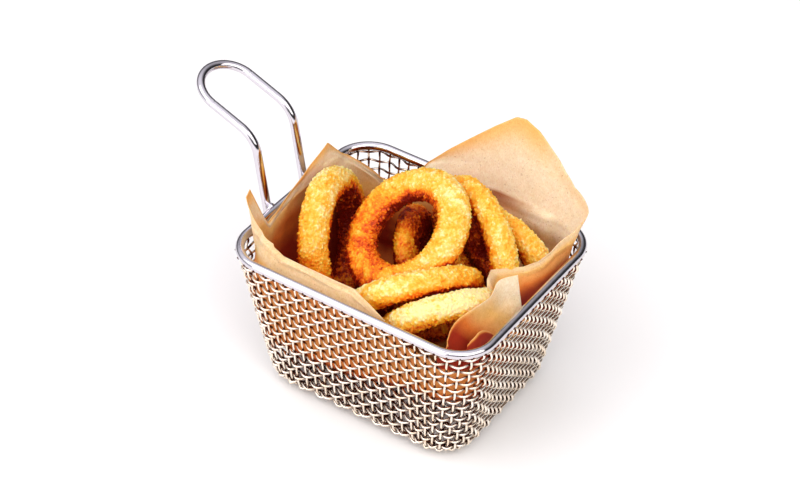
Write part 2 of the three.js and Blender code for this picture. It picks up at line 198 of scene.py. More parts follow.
# %% A tube for many paths at once
def tubes(paths, outward, radius, sides, closed=False):
    """Round tubes along paths, an array of path, step and xyz.

    Outward roughly points off each path. A circle is radius * (cos a * across + sin a * up), where
    up is outward made square to the path and across is square to both. Open tubes end in a fan of
    triangles round the path's own end.
    """
    along = unit(ahead(paths, closed))
    up = unit(outward - np.sum(outward * along, axis=-1, keepdims=True) * along)
    across = np.cross(along, up)
    angle = 2 * np.pi * np.arange(sides)[:, None] / sides
    circle = np.cos(angle) * across[:, :, None, :] + np.sin(angle) * up[:, :, None, :]
    points = (paths[:, :, None, :] + radius * circle).reshape(-1, 3)
    count, steps = paths.shape[:2]
    one = grid_faces(steps, sides, close_rows=closed, close_columns=True, flip=True)
    quads = (one[None] + (np.arange(count) * steps * sides)[:, None, None]).reshape(-1, 4)
    if closed:
        return points, [quads]
    ends = []
    for end in (0, steps - 1):
        loop = (np.arange(count)[:, None] * steps + end) * sides + np.arange(sides)
        ends.append(fan(loop, len(points) + np.arange(count), flip=end > 0))
        points = np.concatenate([points, paths[:, end]])
    return points, [quads, np.concatenate(ends)]


# %% [markdown]
# ## The camera
#
# The camera comes early, so that every later step can be looked at. It stands to the right of the
# basket's long side and looks down on it, with a long lens. A small lens shift puts the basket
# where it belongs in the frame.

# %% Place the camera
LOOK_AT = np.array([0.0, 0.0, 77.0])
CAMERA_DISTANCE = 1065.6
CAMERA_AZIMUTH, CAMERA_ELEVATION, CAMERA_ROLL = np.radians([31.339, 38.823, 2.850])
CAMERA_LENS, CAMERA_SHIFT = 106.44, (-0.0151, -0.0066)


def link_object(name, data, turn, place):
    """Puts a camera or lamp into the scene, with the columns of turn as its own x, y and z."""
    thing = bpy.data.objects.new(name, data)
    placing = np.eye(4)
    placing[:3, :3] = np.stack(turn, axis=1)
    placing[:3, 3] = place
    thing.matrix_world = Matrix(placing.tolist())
    bpy.context.scene.collection.objects.link(thing)
    print(name, "at", np.round(placing[:3, 3], 3), "metres")
    return thing


backward = np.array([np.sin(CAMERA_AZIMUTH) * np.cos(CAMERA_ELEVATION),
                     -np.cos(CAMERA_AZIMUTH) * np.cos(CAMERA_ELEVATION), np.sin(CAMERA_ELEVATION)])
level = np.array([np.cos(CAMERA_AZIMUTH), np.sin(CAMERA_AZIMUTH), 0.0])
rightward = np.cos(CAMERA_ROLL) * level + np.sin(CAMERA_ROLL) * np.cross(backward, level)
camera = link_object("camera", bpy.data.cameras.new("camera"),
                     [rightward, np.cross(backward, rightward), backward],
                     (LOOK_AT + backward * CAMERA_DISTANCE) * MM)
camera.data.lens = CAMERA_LENS
camera.data.shift_x, camera.data.shift_y = CAMERA_SHIFT
bpy.context.scene.camera = camera

# %% [markdown]
# ## Materials as expressions
#
# A material is a graph of nodes. Wiring it by hand hides the idea, so a small class stands for one
# output of a node, and + - * on it add the Math nodes. Colours are mixed with Mix nodes, because a
# Math node turns a colour grey. Every other node comes from one method, node().

# %% Values and finishes
class Value:
    """One output socket in a finish; arithmetic on it adds Math nodes."""

    def __init__(self, finish, socket):
        self.finish, self.socket = finish, socket

    def math(self, operation, a, b, clamp=False):
        """A Math node on two values or numbers."""
        settings = {"operation": operation, "use_clamp": clamp}
        return self.finish.node("Math", settings, {0: a, 1: b})

    def __add__(self, other): return self.math("ADD", self, other)
    def __radd__(self, other): return self.math("ADD", other, self)
    def __sub__(self, other): return self.math("SUBTRACT", self, other)
    def __rsub__(self, other): return self.math("SUBTRACT", other, self)
    def __mul__(self, other): return self.math("MULTIPLY", self, other)
    def __rmul__(self, other): return self.math("MULTIPLY", other, self)
    def clamped(self): return self.math("ADD", self, 0.0, clamp=True)


class Finish:
    """A material that is being built, with a Principled BSDF already in it."""

    def __init__(self, name, **constants):
        self.material = bpy.data.materials.new(name)
        self.material.use_nodes = True
        self.tree = self.material.node_tree
        self.shader = next(n for n in self.tree.nodes if n.type == "BSDF_PRINCIPLED")
        for key, value in constants.items():
            self.shader.inputs[key.replace("_", " ")].default_value = value

    def node(self, kind, settings=None, inputs=None, output=0):
        """Any node: its type, its settings, then the values or links of its inputs."""
        node = self.tree.nodes.new("ShaderNode" + kind)
        for key, value in (settings or {}).items():
            if key == "stops":
                while len(node.color_ramp.elements) < len(value):
                    node.color_ramp.elements.new(0.5)
                for element, (place, colour) in zip(node.color_ramp.elements, value):
                    element.position, element.color = place, colour
            else:
                setattr(node, key, value)
        for key, value in (inputs or {}).items():
            if isinstance(value, Value):
                self.tree.links.new(value.socket, node.inputs[key])
            else:
                node.inputs[key].default_value = value
        return Value(self, node.outputs[output])

    def speckle(self, scale, detail=2.0, roughness=0.5, stretch=None):
        """Noise from 0 to 1 over the piece, whose features are about 1/scale metres wide."""
        vector = self.node("TexCoord", output="Object")
        if stretch:
            vector = self.node("Mapping", None, {"Vector": vector, "Scale": stretch})
        return self.node("TexNoise", {"noise_dimensions": "3D"}, {
            "Vector": vector, "Scale": scale, "Detail": detail, "Roughness": roughness})

    def stored(self, name):
        """The number that the mesh keeps for each point under this name."""
        settings = {"attribute_type": "GEOMETRY", "attribute_name": name}
        return self.node("Attribute", settings, output="Fac")

    def spread(self, value, low, high, to_low=0.0, to_high=1.0):
        """Straight rise from to_low at low to to_high at high, flat outside them."""
        return self.node("MapRange", {"clamp": True}, {
            "Value": value, "From Min": low, "From Max": high, "To Min": to_low, "To Max": to_high})

    def ramp(self, value, stops):
        """A colour for each value: stops are places with their colours, blended between them."""
        return self.node("ValToRGB", {"stops": stops}, {"Fac": value})

    def mix(self, factor, a, b, blend="MIX"):
        """Colour a where the factor is 0, and b, or a blended with b, where it is 1."""
        return self.node("Mix", {"data_type": "RGBA", "blend_type": blend},
                         {0: factor, 6: a, 7: b}, output=2)

    def wire(self, key, value):
        """Links a value to one of the shader's own sockets."""
        self.tree.links.new(value.socket, self.shader.inputs[key])

    def bump(self, height, distance, strength=1.0):
        """Relief of a height from 0 to 1 that stands distance metres high."""
        relief = {"Height": height, "Distance": distance, "Strength": strength}
        self.wire("Normal", self.node("Bump", None, relief))


def srgb(red, green, blue):
    """A colour as a screen counts it, 0 to 255, in the linear numbers that shaders use."""
    c = np.array([red, green, blue]) / 255
    linear = np.where(c <= 0.04045, c / 12.92, ((c + 0.055) / 1.055) ** 2.4)
    return (*linear.tolist(), 1.0)


print("a light tan in linear numbers:", np.round(srgb(232, 196, 150), 3))

# %% [markdown]
# ## Steel
#
# Rim and handle are polished stainless rod. Steel needs little colour of its own: it is fully
# metallic, and its look is what it reflects. Faint drawing lines along the rod and soft smudges in
# the roughness keep it from looking like chrome plate on a toy. The woven wire is duller, and brown
# where it dips between its neighbours, which is painted shade. A number kept on the mesh, the
# crest, tells the finish how far out a wire stands.

# %% Polished rod and woven wire
def rod_finish():
    f = Finish("polished_steel_rod", Metallic=1.0)
    smudge = f.speckle(90.0, detail=3.0)
    scuff = f.spread(f.speckle(700.0, detail=1.0, stretch=(1.0, 1.0, 0.35)), 0.66, 0.74)
    f.wire("Base Color", f.mix(smudge, srgb(204, 199, 207), srgb(222, 218, 224)))
    f.wire("Roughness", f.spread(smudge, 0.3, 0.7, 0.07, 0.13) + scuff * 0.12)
    f.bump(f.speckle(260.0, detail=2.0), 0.00004)
    return f.material


def wire_finish():
    f = Finish("woven_steel_wire", Metallic=1.0)
    darker_patch = f.spread(f.speckle(160.0, detail=2.0), 0.35, 0.7)
    bright = f.mix(darker_patch, srgb(254, 246, 234), srgb(240, 220, 196))
    # Painted shade: the wire turns dark brown where it dips in, away from its crest.
    out_of_painted_shade = f.spread(f.stored("crest"), 0.10, 0.62)
    f.wire("Base Color", f.mix(out_of_painted_shade, srgb(88, 42, 24), bright))
    f.wire("Roughness", f.spread(darker_patch, 0.0, 1.0, 0.14, 0.24))
    return f.material


rod_steel, wire_steel = rod_finish(), wire_finish()
print("finishes:", rod_steel.name, "and", wire_steel.name)

# %% [markdown]
# ## Going round the basket
#
# Rim, wires and paper all follow the same rounded rectangle, larger at the top than at the foot. A
# place on it is a length along one reference outline, the paper's at the rim. It starts at the
# left end of the front side and runs past +X, the back and -X until it is home again.

# %% The rounded rectangle
ROD_RADIUS = 2.1
rim_box = np.array([list(c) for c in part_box("rim_rod")]) / MM
RIM_HEIGHT = rim_box[:, 2].mean()
RIM_HALF = np.round((rim_box[1] - rim_box[0])[:2] / 2 - ROD_RADIUS, 1)
RIM_CORNER = 17.5
BASE_HALF = np.array([53.5, 42.5])      # outside of the wall, carried down to the table
WALL_SLOPE = 13.2 / 77
BASE_CORNER, TOP_CORNER = 17.0, 19.0

PAPER_RIM_HALF = np.array([61.9, 50.9])
PAPER_CORNER = 17.0
# Along the reference outline: a side's length, a corner's, where each side starts, and all round.
SIDE = 2 * (PAPER_RIM_HALF - PAPER_CORNER)
ARC = np.pi / 2 * PAPER_CORNER
START = np.array([0, SIDE[0] + ARC, SIDE[0] + SIDE[1] + 2 * ARC, 2 * SIDE[0] + SIDE[1] + 3 * ARC])
ROUND = 2 * SIDE.sum() + 4 * ARC


# The place on the outline at an x or y of one side, and at a share of the corner that follows it.
def front(x): return START[0] + x + SIDE[0] / 2
def right(y): return START[1] + y + SIDE[1] / 2
def back(x): return START[2] + SIDE[0] / 2 - x
def left(y): return START[3] + SIDE[1] / 2 - y
def corner(number, share): return START[number] + SIDE[number % 2] + share * ARC
def by_side(side, of_long, of_short): return np.where(side % 2 == 0, of_long, of_short)


def quarter_turns(x, y, bend, side):
    """A point and a normal of the front side and its corner, turned to another side.

    Side 1 is one quarter turn on, at +X, and so round; bend is how far the corner has swung.
    """
    turn = side * np.pi / 2
    cos, sin = np.cos(turn), np.sin(turn)
    point = np.stack([cos * x - sin * y, sin * x + cos * y], axis=-1)
    return point, np.stack([np.sin(bend + turn), -np.cos(bend + turn)], axis=-1)


def outline(half, radius, place):
    """Points and outward normals of a rounded rectangle at places of the reference outline.

    On the front side a point is (reach * (2 along - 1), -depth); in a corner the radius swings it
    round by the angle bend.
    """
    t = np.mod(place, ROUND)
    side = np.searchsorted(START, t, side="right") - 1
    length = SIDE[side % 2]
    along = np.minimum((t - START[side]) / length, 1)
    bend = np.maximum(t - START[side] - length, 0) / PAPER_CORNER
    reach, depth = by_side(side, *half) - radius, by_side(side, *half[::-1]) - radius
    x = reach * (2 * along - 1) + radius * np.sin(bend)
    y = -depth - radius * np.cos(bend)
    return quarter_turns(x, y, bend, side)


print("rim centre line:", RIM_HALF, "mm half lengths at height", round(float(RIM_HEIGHT), 2))

# %% [markdown]
# ## Rim and handle
#
# The rim is one rod bent round and closed. The handle is the same rod: it runs up a leg, leans out
# in a bend, goes round a half circle and comes back down. Both are tubes along a path with enough
# steps that no facet shows in the reflections, which a bevelled curve would need as well.

# %% Rim
RIM_STEPS, RIM_SIDES = 320, 28

rim_line, rim_out = outline(RIM_HALF, RIM_CORNER, np.linspace(0, ROUND, RIM_STEPS, endpoint=False))
rim_tube = tubes(lifted(rim_line, RIM_HEIGHT)[None], lifted(rim_out, 0.0)[None],
                 ROD_RADIUS, RIM_SIDES, closed=True)
new_piece("rim", *rim_tube, material=rod_steel)

# %% Handle
HANDLE_X, HANDLE_Y = -69.5, -1.05
HANDLE_HALF_WIDTH = 14.3
HANDLE_FOOT, HANDLE_LEG, HANDLE_LENGTH = 4.5, 28.1, 74.5
HANDLE_LEAN, LOOP_LEAN = np.radians([10.8, 68.6])
HANDLE_BEND = 14.9
HANDLE_STEPS, HANDLE_SIDES = 360, 24
OFF_HANDLE = np.array([-0.93, 0.0, 0.36])     # off the rod, away from the basket


def handle_path(steps):
    """The handle's line. A distance s along the rod is first a height above the rim.

    Seen from the side the rod leans by HANDLE_LEAN, bends on a radius and then leans by LOOP_LEAN;
    seen along that it is two parallel legs joined by a half circle.
    """
    straight = HANDLE_FOOT + HANDLE_LENGTH - HANDLE_HALF_WIDTH
    total = 2 * straight + np.pi * HANDLE_HALF_WIDTH
    s = np.linspace(0, total, steps)
    turn = np.clip((s - straight) / HANDLE_HALF_WIDTH, 0, np.pi)
    leg = np.minimum(np.minimum(s, total - s), straight)
    distance = leg - HANDLE_FOOT + HANDLE_HALF_WIDTH * np.sin(turn)
    bend_length = HANDLE_BEND * (LOOP_LEAN - HANDLE_LEAN)
    low = np.minimum(distance, HANDLE_LEG)
    bend = HANDLE_LEAN + np.clip(distance - HANDLE_LEG, 0, bend_length) / HANDLE_BEND
    loop = np.maximum(distance - HANDLE_LEG - bend_length, 0)
    x = (HANDLE_X - low * np.sin(HANDLE_LEAN) - HANDLE_BEND * (np.cos(HANDLE_LEAN) - np.cos(bend))
         - loop * np.sin(LOOP_LEAN))
    z = (RIM_HEIGHT + low * np.cos(HANDLE_LEAN) + HANDLE_BEND * (np.sin(bend) - np.sin(HANDLE_LEAN))
         + loop * np.cos(LOOP_LEAN))
    return np.stack([x, HANDLE_Y - HANDLE_HALF_WIDTH * np.cos(turn), z], axis=-1)


handle_tube = tubes(handle_path(HANDLE_STEPS)[None], OFF_HANDLE, ROD_RADIUS, HANDLE_SIDES)
new_piece("handle", *handle_tube, material=rod_steel)

# %% [markdown]
# ## The weave
#
# The basket is pressed from flat cloth in plain weave: each wire passes outside one crossing wire
# and inside the next. In such cloth one set of wires does nearly all the bending and the other
# stays almost straight. Here the wires along X bend. They are the level wires of the long walls,
# and they turn up to be the upright wires of the short walls, so the two walls look different. A
# flat plane with a weave pattern would miss that, so every wire is real.
#
# Eighty-four uprights stand round the basket. Those of the straight sides run on under the floor
# and up the other side; those of the corners end at the lower edge.

# %% Where the wires lie
WIRE_RADIUS, WIRE_SIDES = 0.56, 8
WIRE_PITCH = 5.233              # between uprights on the straight sides
ROW_PITCH = 4.36                # between level wires, measured down the wall
TOP_ROW, ROWS = 73.7, 18        # height of the first level wire, and how many there are
BENT_WAVE, STRAIGHT_WAVE = 1.2, 0.14          # how far wires along X and along Y swing
MIDDLE = 1.0                    # middle of the weave inside the wall's outer face
FLOOR_HEIGHT = WIRE_RADIUS + BENT_WAVE
EDGE_HEIGHT = 10.0              # the rounded lower edge starts here
EDGE_RADIUS = EDGE_HEIGHT - FLOOR_HEIGHT
EDGE_LENGTH = np.pi / 2 * EDGE_RADIUS
TIGHTEST_CORNER = 2.0
LONG_STEPS, SHORT_STEPS, CORNER_STEPS = 12, 8, 11       # steps from wire to wire
LONG_END, SHORT_END = LONG_STEPS / 2 * WIRE_PITCH, SHORT_STEPS / 2 * WIRE_PITCH
# The number of the wire with which each side and each corner starts, and last the whole count.
GROUPS = np.cumsum([0] + 2 * [LONG_STEPS, CORNER_STEPS, SHORT_STEPS, CORNER_STEPS])


def wall_section(down):
    """Inset, height and lean of the weave, a length down the wall from the top row.

    It runs straight down to the rounded edge, and then round a quarter circle to the floor.
    """
    height = TOP_ROW - down
    angle = np.clip((EDGE_HEIGHT - height) / EDGE_RADIUS, 0, np.pi / 2)
    inset = EDGE_RADIUS * (1 - np.cos(angle))
    rounded = EDGE_HEIGHT - EDGE_RADIUS * np.sin(angle)
    return inset, np.where(height > EDGE_HEIGHT, height, rounded), angle


def side_or_corner(wire):
    """The group of a wire number, even for sides and odd for corners, and the steps into it."""
    wire = np.mod(wire, GROUPS[-1])
    group = np.searchsorted(GROUPS, wire, side="right") - 1
    return group, wire - GROUPS[group]


def weave_round(wire, down):
    """Point and outward normal for wire numbers from 0 to 84 at lengths down the wall.

    On a side the wires keep their x or y; in a corner they share the outline's length evenly.
    """
    wire, down = np.broadcast_arrays(wire, down)
    inset, height, angle = wall_section(down)
    half = [h + WALL_SLOPE * height - MIDDLE - inset for h in BASE_HALF]
    radius = BASE_CORNER + (TOP_CORNER - BASE_CORNER) * height / RIM_HEIGHT - MIDDLE - inset
    radius = np.maximum(radius, TIGHTEST_CORNER)
    group, step = side_or_corner(wire)
    side, straight = group // 2, group % 2 == 0
    end, next_end = by_side(side, LONG_END, SHORT_END), by_side(side, SHORT_END, LONG_END)
    reach, depth = by_side(side, *half) - radius, by_side(side, *half[::-1]) - radius
    before, after, quarter = reach - end, depth - next_end, np.pi / 2 * radius
    run = step / CORNER_STEPS * (before + quarter + after)
    bend = np.where(straight, 0, np.clip((run - before) / radius, 0, np.pi / 2))
    past = np.maximum(run - before - quarter, 0)
    in_corner = end + np.minimum(run, before) + radius * np.sin(bend), past - radius * np.cos(bend)
    x = np.where(straight, step * WIRE_PITCH - end, in_corner[0])
    y = np.where(straight, -radius, in_corner[1]) - depth
    flat, out = quarter_turns(x, y, bend, side)
    tilt = -np.sin(angle) - WALL_SLOPE * np.cos(angle)
    return lifted(flat, height), unit(lifted(out * np.cos(angle)[..., None], tilt))


def level_wave(wire):
    """Swing of level wires: large on the long walls, small on the short ones, mixed in corners."""
    group, step = side_or_corner(wire)
    share = rise(0, CORNER_STEPS, step)
    share = np.choose(group % 4, [0 * share, share, 1 + 0 * share, 1 - share])
    return BENT_WAVE + (STRAIGHT_WAVE - BENT_WAVE) * share


def swung(point, out, size, swing):
    """A wire's path with its swing, its way out, and the crest, 1 where it is furthest out."""
    return point + out * (size * swing)[..., None], out, 0.5 + 0.5 * swing


print("wires round the basket:", GROUPS[-1], "- rows:", ROWS, "- edge arc:",
      round(float(EDGE_LENGTH), 2), "mm")

# %% Level wires
STEPS_A_WAVE = 12

row_number = np.arange(ROWS)[:, None]
row_wire = np.linspace(0, GROUPS[-1], GROUPS[-1] * STEPS_A_WAVE // 2, endpoint=False)[None, :]
row_path, row_out, row_crest = swung(*weave_round(row_wire, row_number * ROW_PITCH),
                                     level_wave(row_wire), np.cos(np.pi * (row_wire + row_number)))
row_tubes = tubes(row_path, row_out, WIRE_RADIUS, WIRE_SIDES, closed=True)
new_piece("wire_rows", *row_tubes, {"crest": np.repeat(row_crest.ravel(), WIRE_SIDES)}, wire_steel)

# %% [markdown]
# ### Upright wires
#
# An upright's place is counted in crossings: row 0 is the top row, row 17 the last one, then come
# the floor's crossings, and the rows of the far side in reverse. Counting in crossings makes the
# over-and-under a plain cosine from one end to the other.

# %% Upright wires and the floor
UPRIGHT_END = -0.45             # the wires end inside the rim rod, this many rows above the top row
STEPS_A_ROW = 5
CORNER_WIRE_END, CORNER_WIRE_STEPS = ROWS - 0.6, 72
FLOOR_WIRE_STEPS = 110
FLOOR_REACH = (8, 6)            # crossings from the floor's middle to its last, along X and along Y
SWING_ALONG = (BENT_WAVE, STRAIGHT_WAVE)
# The floor's outermost wires: how many pitches off the middle they lie, and half their length.
OUTERMOST = [([-6, -5, 5, 6], 48.5), ([-8, -7, 7, 8], 37.5)]
DOWNWARD = np.array([0, 0, -1.0])


def through_wires(axis, first, last):
    """Wires from number first to last that go down one side, across the floor and up the far side.

    They run along x for axis 0 and along y for axis 1. The swing is -cos(pi * (crossing + wire)).
    """
    reach, numbers = FLOOR_REACH[axis], np.arange(first, last + 1)[:, None]
    whole = 2 * (ROWS + reach)
    steps = int((whole - 2 * UPRIGHT_END) * STEPS_A_ROW)
    count = np.linspace(UPRIGHT_END, whole - UPRIGHT_END, steps)
    mirrored = np.minimum(count, whole - count)
    last_row = (ROWS - 1) * ROW_PITCH
    wall_end = TOP_ROW - EDGE_HEIGHT + EDGE_LENGTH
    edge_half = BASE_HALF[axis] + WALL_SLOPE * FLOOR_HEIGHT - MIDDLE - EDGE_RADIUS
    to_floor = wall_end + edge_half - reach * WIRE_PITCH - last_row
    down = np.where(mirrored < ROWS - 1, mirrored * ROW_PITCH,
                    last_row + (mirrored - ROWS + 1) * to_floor)
    point, out = weave_round(numbers, np.minimum(down, wall_end))
    beyond = np.maximum(down - wall_end, 0)
    on_floor = mirrored >= ROWS
    side = -1 if axis == 1 else 1
    near = np.where(count <= whole / 2, 1, -1)
    point[..., axis] = side * np.where(on_floor, reach * WIRE_PITCH * (1 - (count - ROWS) / reach),
                                       near * (np.abs(point[..., axis]) - beyond))
    out[..., axis] = side * near * np.abs(out[..., axis])
    out = np.where(on_floor[None, :, None], DOWNWARD, out)
    return swung(point, out, SWING_ALONG[axis], -np.cos(np.pi * (count + numbers)))


def corner_wires():
    """Wires of the four corners, from the rim to the rounded lower edge."""
    numbers = [np.arange(GROUPS[k] + 1, GROUPS[k + 1]) for k in (1, 3, 5, 7)]
    numbers = np.concatenate(numbers)[:, None]
    count = np.linspace(UPRIGHT_END, CORNER_WIRE_END, CORNER_WIRE_STEPS)[None, :]
    size = BENT_WAVE + STRAIGHT_WAVE - level_wave(numbers)
    swing = -np.cos(np.pi * (count + numbers))
    return swung(*weave_round(numbers, count * ROW_PITCH), size, swing)


def floor_wires(axis, kept, run_half):
    """Wires near the floor's edges that turn up a little and end in the rounded edge.

    Past the flat floor the height follows the quarter circle: with d the distance beyond the flat
    part, height = edge - sqrt(radius^2 - d^2).
    """
    run = np.linspace(-run_half, run_half, FLOOR_WIRE_STEPS)
    run, kept = np.broadcast_arrays(run[None, :], WIRE_PITCH * np.array(kept)[:, None])
    flat = np.stack([run, kept] if axis == 0 else [kept, run], axis=-1)
    floor_edge = BASE_HALF + WALL_SLOPE * FLOOR_HEIGHT - MIDDLE - EDGE_RADIUS
    bend = BASE_CORNER - MIDDLE - EDGE_RADIUS
    over = np.abs(flat) - (floor_edge - bend)
    beyond = np.linalg.norm(np.maximum(over, 0), axis=-1) + np.minimum(over.max(axis=-1), 0) - bend
    beyond = np.clip(beyond, 0, 0.97 * EDGE_RADIUS)
    height = EDGE_HEIGHT - np.sqrt(EDGE_RADIUS ** 2 - beyond ** 2)
    swing = np.cos(np.pi * (run / WIRE_PITCH + kept / WIRE_PITCH + axis))
    return swung(lifted(flat, height), DOWNWARD, SWING_ALONG[axis], swing)


def joined(parts):
    """Several sets of open wires as one list of points and faces, with the crest of each point."""
    points, quads, triangles, crests = np.empty((0, 3)), [], [], []
    for path, out, crest in parts:
        more, (q, t) = tubes(path, out, WIRE_RADIUS, WIRE_SIDES)
        quads.append(q + len(points))
        triangles.append(t + len(points))
        points = np.concatenate([points, more])
        crests += [np.repeat(crest.ravel(), WIRE_SIDES), np.full(2 * len(path), 0.5)]
    return points, quads + triangles, {"crest": np.concatenate(crests)}


wire_sets = {
    "wire_uprights": [through_wires(1, *GROUPS[:2]), through_wires(0, *GROUPS[2:4]), corner_wires()],
    "wire_floor": [floor_wires(axis, *OUTERMOST[axis]) for axis in (0, 1)],
}
for name, parts in wire_sets.items():
    new_piece(name, *joined(parts), wire_steel)

# %% [markdown]
# ### Where wire meets rod
#
# Each upright is cut a little long and its end is pressed round the rim's outer side and welded.
# The ends are small, but they catch the light as a row of dots, so each is a short tube on an arc
# round the rod. The handle's legs are welded on with a bead of metal, a flattened ball.

# %% Wire ends and weld beads
END_RADIUS, END_SIDES, END_OFF = 0.42, 6, 0.18
END_SWEEP = np.radians(np.linspace(-100, -22, 8))       # round the rod, 0 straight outward
BEAD_SIZE, BEAD_LOW = [2.3, 2.2, 3.1], 0.6

end_point, end_out = weave_round(np.arange(GROUPS[-1]), 0.0)
end_out = unit(end_out * [1, 1, 0])
rod_middle = end_point + end_out * (RIM_HALF[1] - (BASE_HALF[1] + WALL_SLOPE * TOP_ROW - MIDDLE))
rod_middle[:, 2] = RIM_HEIGHT
end_way = (np.cos(END_SWEEP)[:, None] * end_out[:, None, :]
           - np.sin(END_SWEEP)[:, None] * DOWNWARD)
end_path = rod_middle[:, None, :] + (ROD_RADIUS + END_OFF) * end_way
end_tubes = tubes(end_path, end_way, END_RADIUS, END_SIDES)
# The ends keep no crest, so the wire finish paints all of each end in the dark brown shade of the
# dips.
new_piece("wire_ends", *end_tubes, material=wire_steel)


def bead(centre, size, rows=20, columns=24):
    """A flattened ball: centre + size * (cos u cos v, cos u sin v, sin u), a fan at each pole."""
    u = np.linspace(-np.pi / 2, np.pi / 2, rows + 2)[1:-1, None]
    v = (2 * np.pi * np.arange(columns) / columns)[None, :]
    ball = np.stack([np.cos(u) * np.cos(v), np.cos(u) * np.sin(v), np.sin(u) + 0 * v], axis=-1)
    ball = ball * (1 + 0.06 * noise(3 * ball + np.array(centre), 1.0, 7))[..., None]
    points = np.concatenate([ball.reshape(-1, 3), [[0, 0, -1], [0, 0, 1]]])
    low = fan(np.arange(columns), rows * columns, flip=True)
    high = fan((rows - 1) * columns + np.arange(columns), rows * columns + 1)
    faces = [grid_faces(rows, columns, close_columns=True), low, high]
    return points * size + np.array(centre), faces


for number, turn in enumerate((-1, 1), start=1):
    leg_y = HANDLE_Y + turn * HANDLE_HALF_WIDTH
    weld = bead([(HANDLE_X - RIM_HALF[0]) / 2, leg_y, RIM_HEIGHT - BEAD_LOW], BEAD_SIZE)
    new_piece(f"weld_bead_{number}", *weld, material=rod_steel)

# %% [markdown]
# ## Liner paper
#
# The liner is thin kraft paper, pressed into the basket and folded over itself. A cloth simulation
# makes soft folds, but paper creases into flat facets with sharp lines, so the sheet is built from
# its real outline instead: an upper edge that rises and falls round the basket, a wall, a rounded
# turn and a crumpled floor. Creases are added as waves of straight folds in random directions.

# %% The sheet's edge and shape
PAPER_THICKNESS = 0.32
PAPER_OFF = 3.15                # middle of the sheet inside the wall's outer face
PAPER_FLOOR, PAPER_FILLET = 22.5, 9.0
ROD_TOP = RIM_HEIGHT + ROD_RADIUS
WAIST_AT, WALL_END, FILLET_END = 0.25, 0.6, 0.75        # where the wall, turn and floor start
PULL_FROM, PULL_TO = 58.0, RIM_HEIGHT - 2       # between these heights the wall comes inside the rod
BAND_HEIGHT = 4.0               # of the band above the waist, at least
LEAN_FROM, LEAN_LEAST = 64.0, 6.0       # a band leans in from this height, or this far under its edge
LEAN_CURVE = 1.4                # above 1 the lean grows faster towards the edge
# The upper edge: place, height above the table, and how far it leans in past the rim's line.
PAPER_EDGE = np.array([
    [front(-38), 83, 4.2], [front(0), 83, 3.9], [front(10), 80, 2], [front(17), 77, 0.8],
    [front(27), 67, 0.8], [front(42), 64, 1.2],
    [corner(0, 0.5), 61, 1], [right(-18), 60, 4], [right(-14), 64, 10], [right(-10.5), 74, 15],
    [right(-8.5), 83.5, 17.5], [right(0.7), 81.5, 21], [right(10), 79, 16],
    [right(13.5), 79.1, 12], [right(20.4), 79.6, 8], [right(27.2), 81.5, 6], [right(31), 84.5, 4.5],
    [corner(1, 0.05), 85.5, 3.5], [corner(1, 0.22), 88, -0.2], [corner(1, 0.36), 94.9, -5.4],
    [corner(1, 0.82), 98.7, -4.8], [back(40.6), 107.5, -7.1], [back(27.9), 116.5, -9.6],
    [back(20.2), 119.4, -10.4], [back(15), 118.7, -10.2], [back(5.4), 110.8, -8],
    [back(-5.9), 100.4, -5.6], [back(-14.8), 92.1, -3], [back(-25), 81, -0.8], [back(-33), 68, 1],
    [back(-40), 62, 1],
    [corner(2, 0.2), 64, 1], [left(34), 81, 0], [left(26), 90.7, -2.6], [left(-6), 82.5, -1],
    [left(-25), 77, 0], [left(-28), 83, -0.6], [left(-31), 97.5, -5.5], [corner(3, 0.05), 96, -4.5],
    [corner(3, 0.3), 84, 6], [corner(3, 0.8), 82.5, 9],
])


def paper_floor(x, y):
    """Height of the crumpled floor: low at the handle's end, higher at +X, with smooth humps."""
    def hump(cx, cy, wide, deep):
        return np.exp(-((x - cx) / wide) ** 2 - ((y - cy) / deep) ** 2)
    return (PAPER_FLOOR + 10.4 * rise(-14, 30, x) + 4 * rise(10, 45, x) * rise(15, 45, -y)
            + 15.2 * hump(4, -9, 19, 12) + 2 * hump(17, 24, 9, 9))


def paper_half(height):
    """Half lengths of the sheet at a height: along the wall, then in past the rim rod."""
    wall = [h + WALL_SLOPE * np.minimum(height, RIM_HEIGHT) - PAPER_OFF for h in BASE_HALF]
    pull = BASE_HALF[0] + WALL_SLOPE * RIM_HEIGHT - PAPER_OFF - PAPER_RIM_HALF[0]
    return [w - pull * rise(PULL_FROM, PULL_TO, height) for w in wall]


def creases(a, b, seed, folds, width):
    """Straight folds in random directions, about -1 to 1: the sum of zigzags |2 frac(t) - 1|."""
    draw = np.random.default_rng(seed)
    total = 0
    for _ in range(folds):
        angle, shift = draw.uniform(0, np.pi), draw.uniform(0, 1)
        size = draw.uniform(0.7, 1.6) * width
        t = (a * np.cos(angle) + b * np.sin(angle)) / size + shift
        total = total + np.abs(2 * (t - np.floor(t)) - 1) * 2 - 1
    return total / np.sqrt(folds)


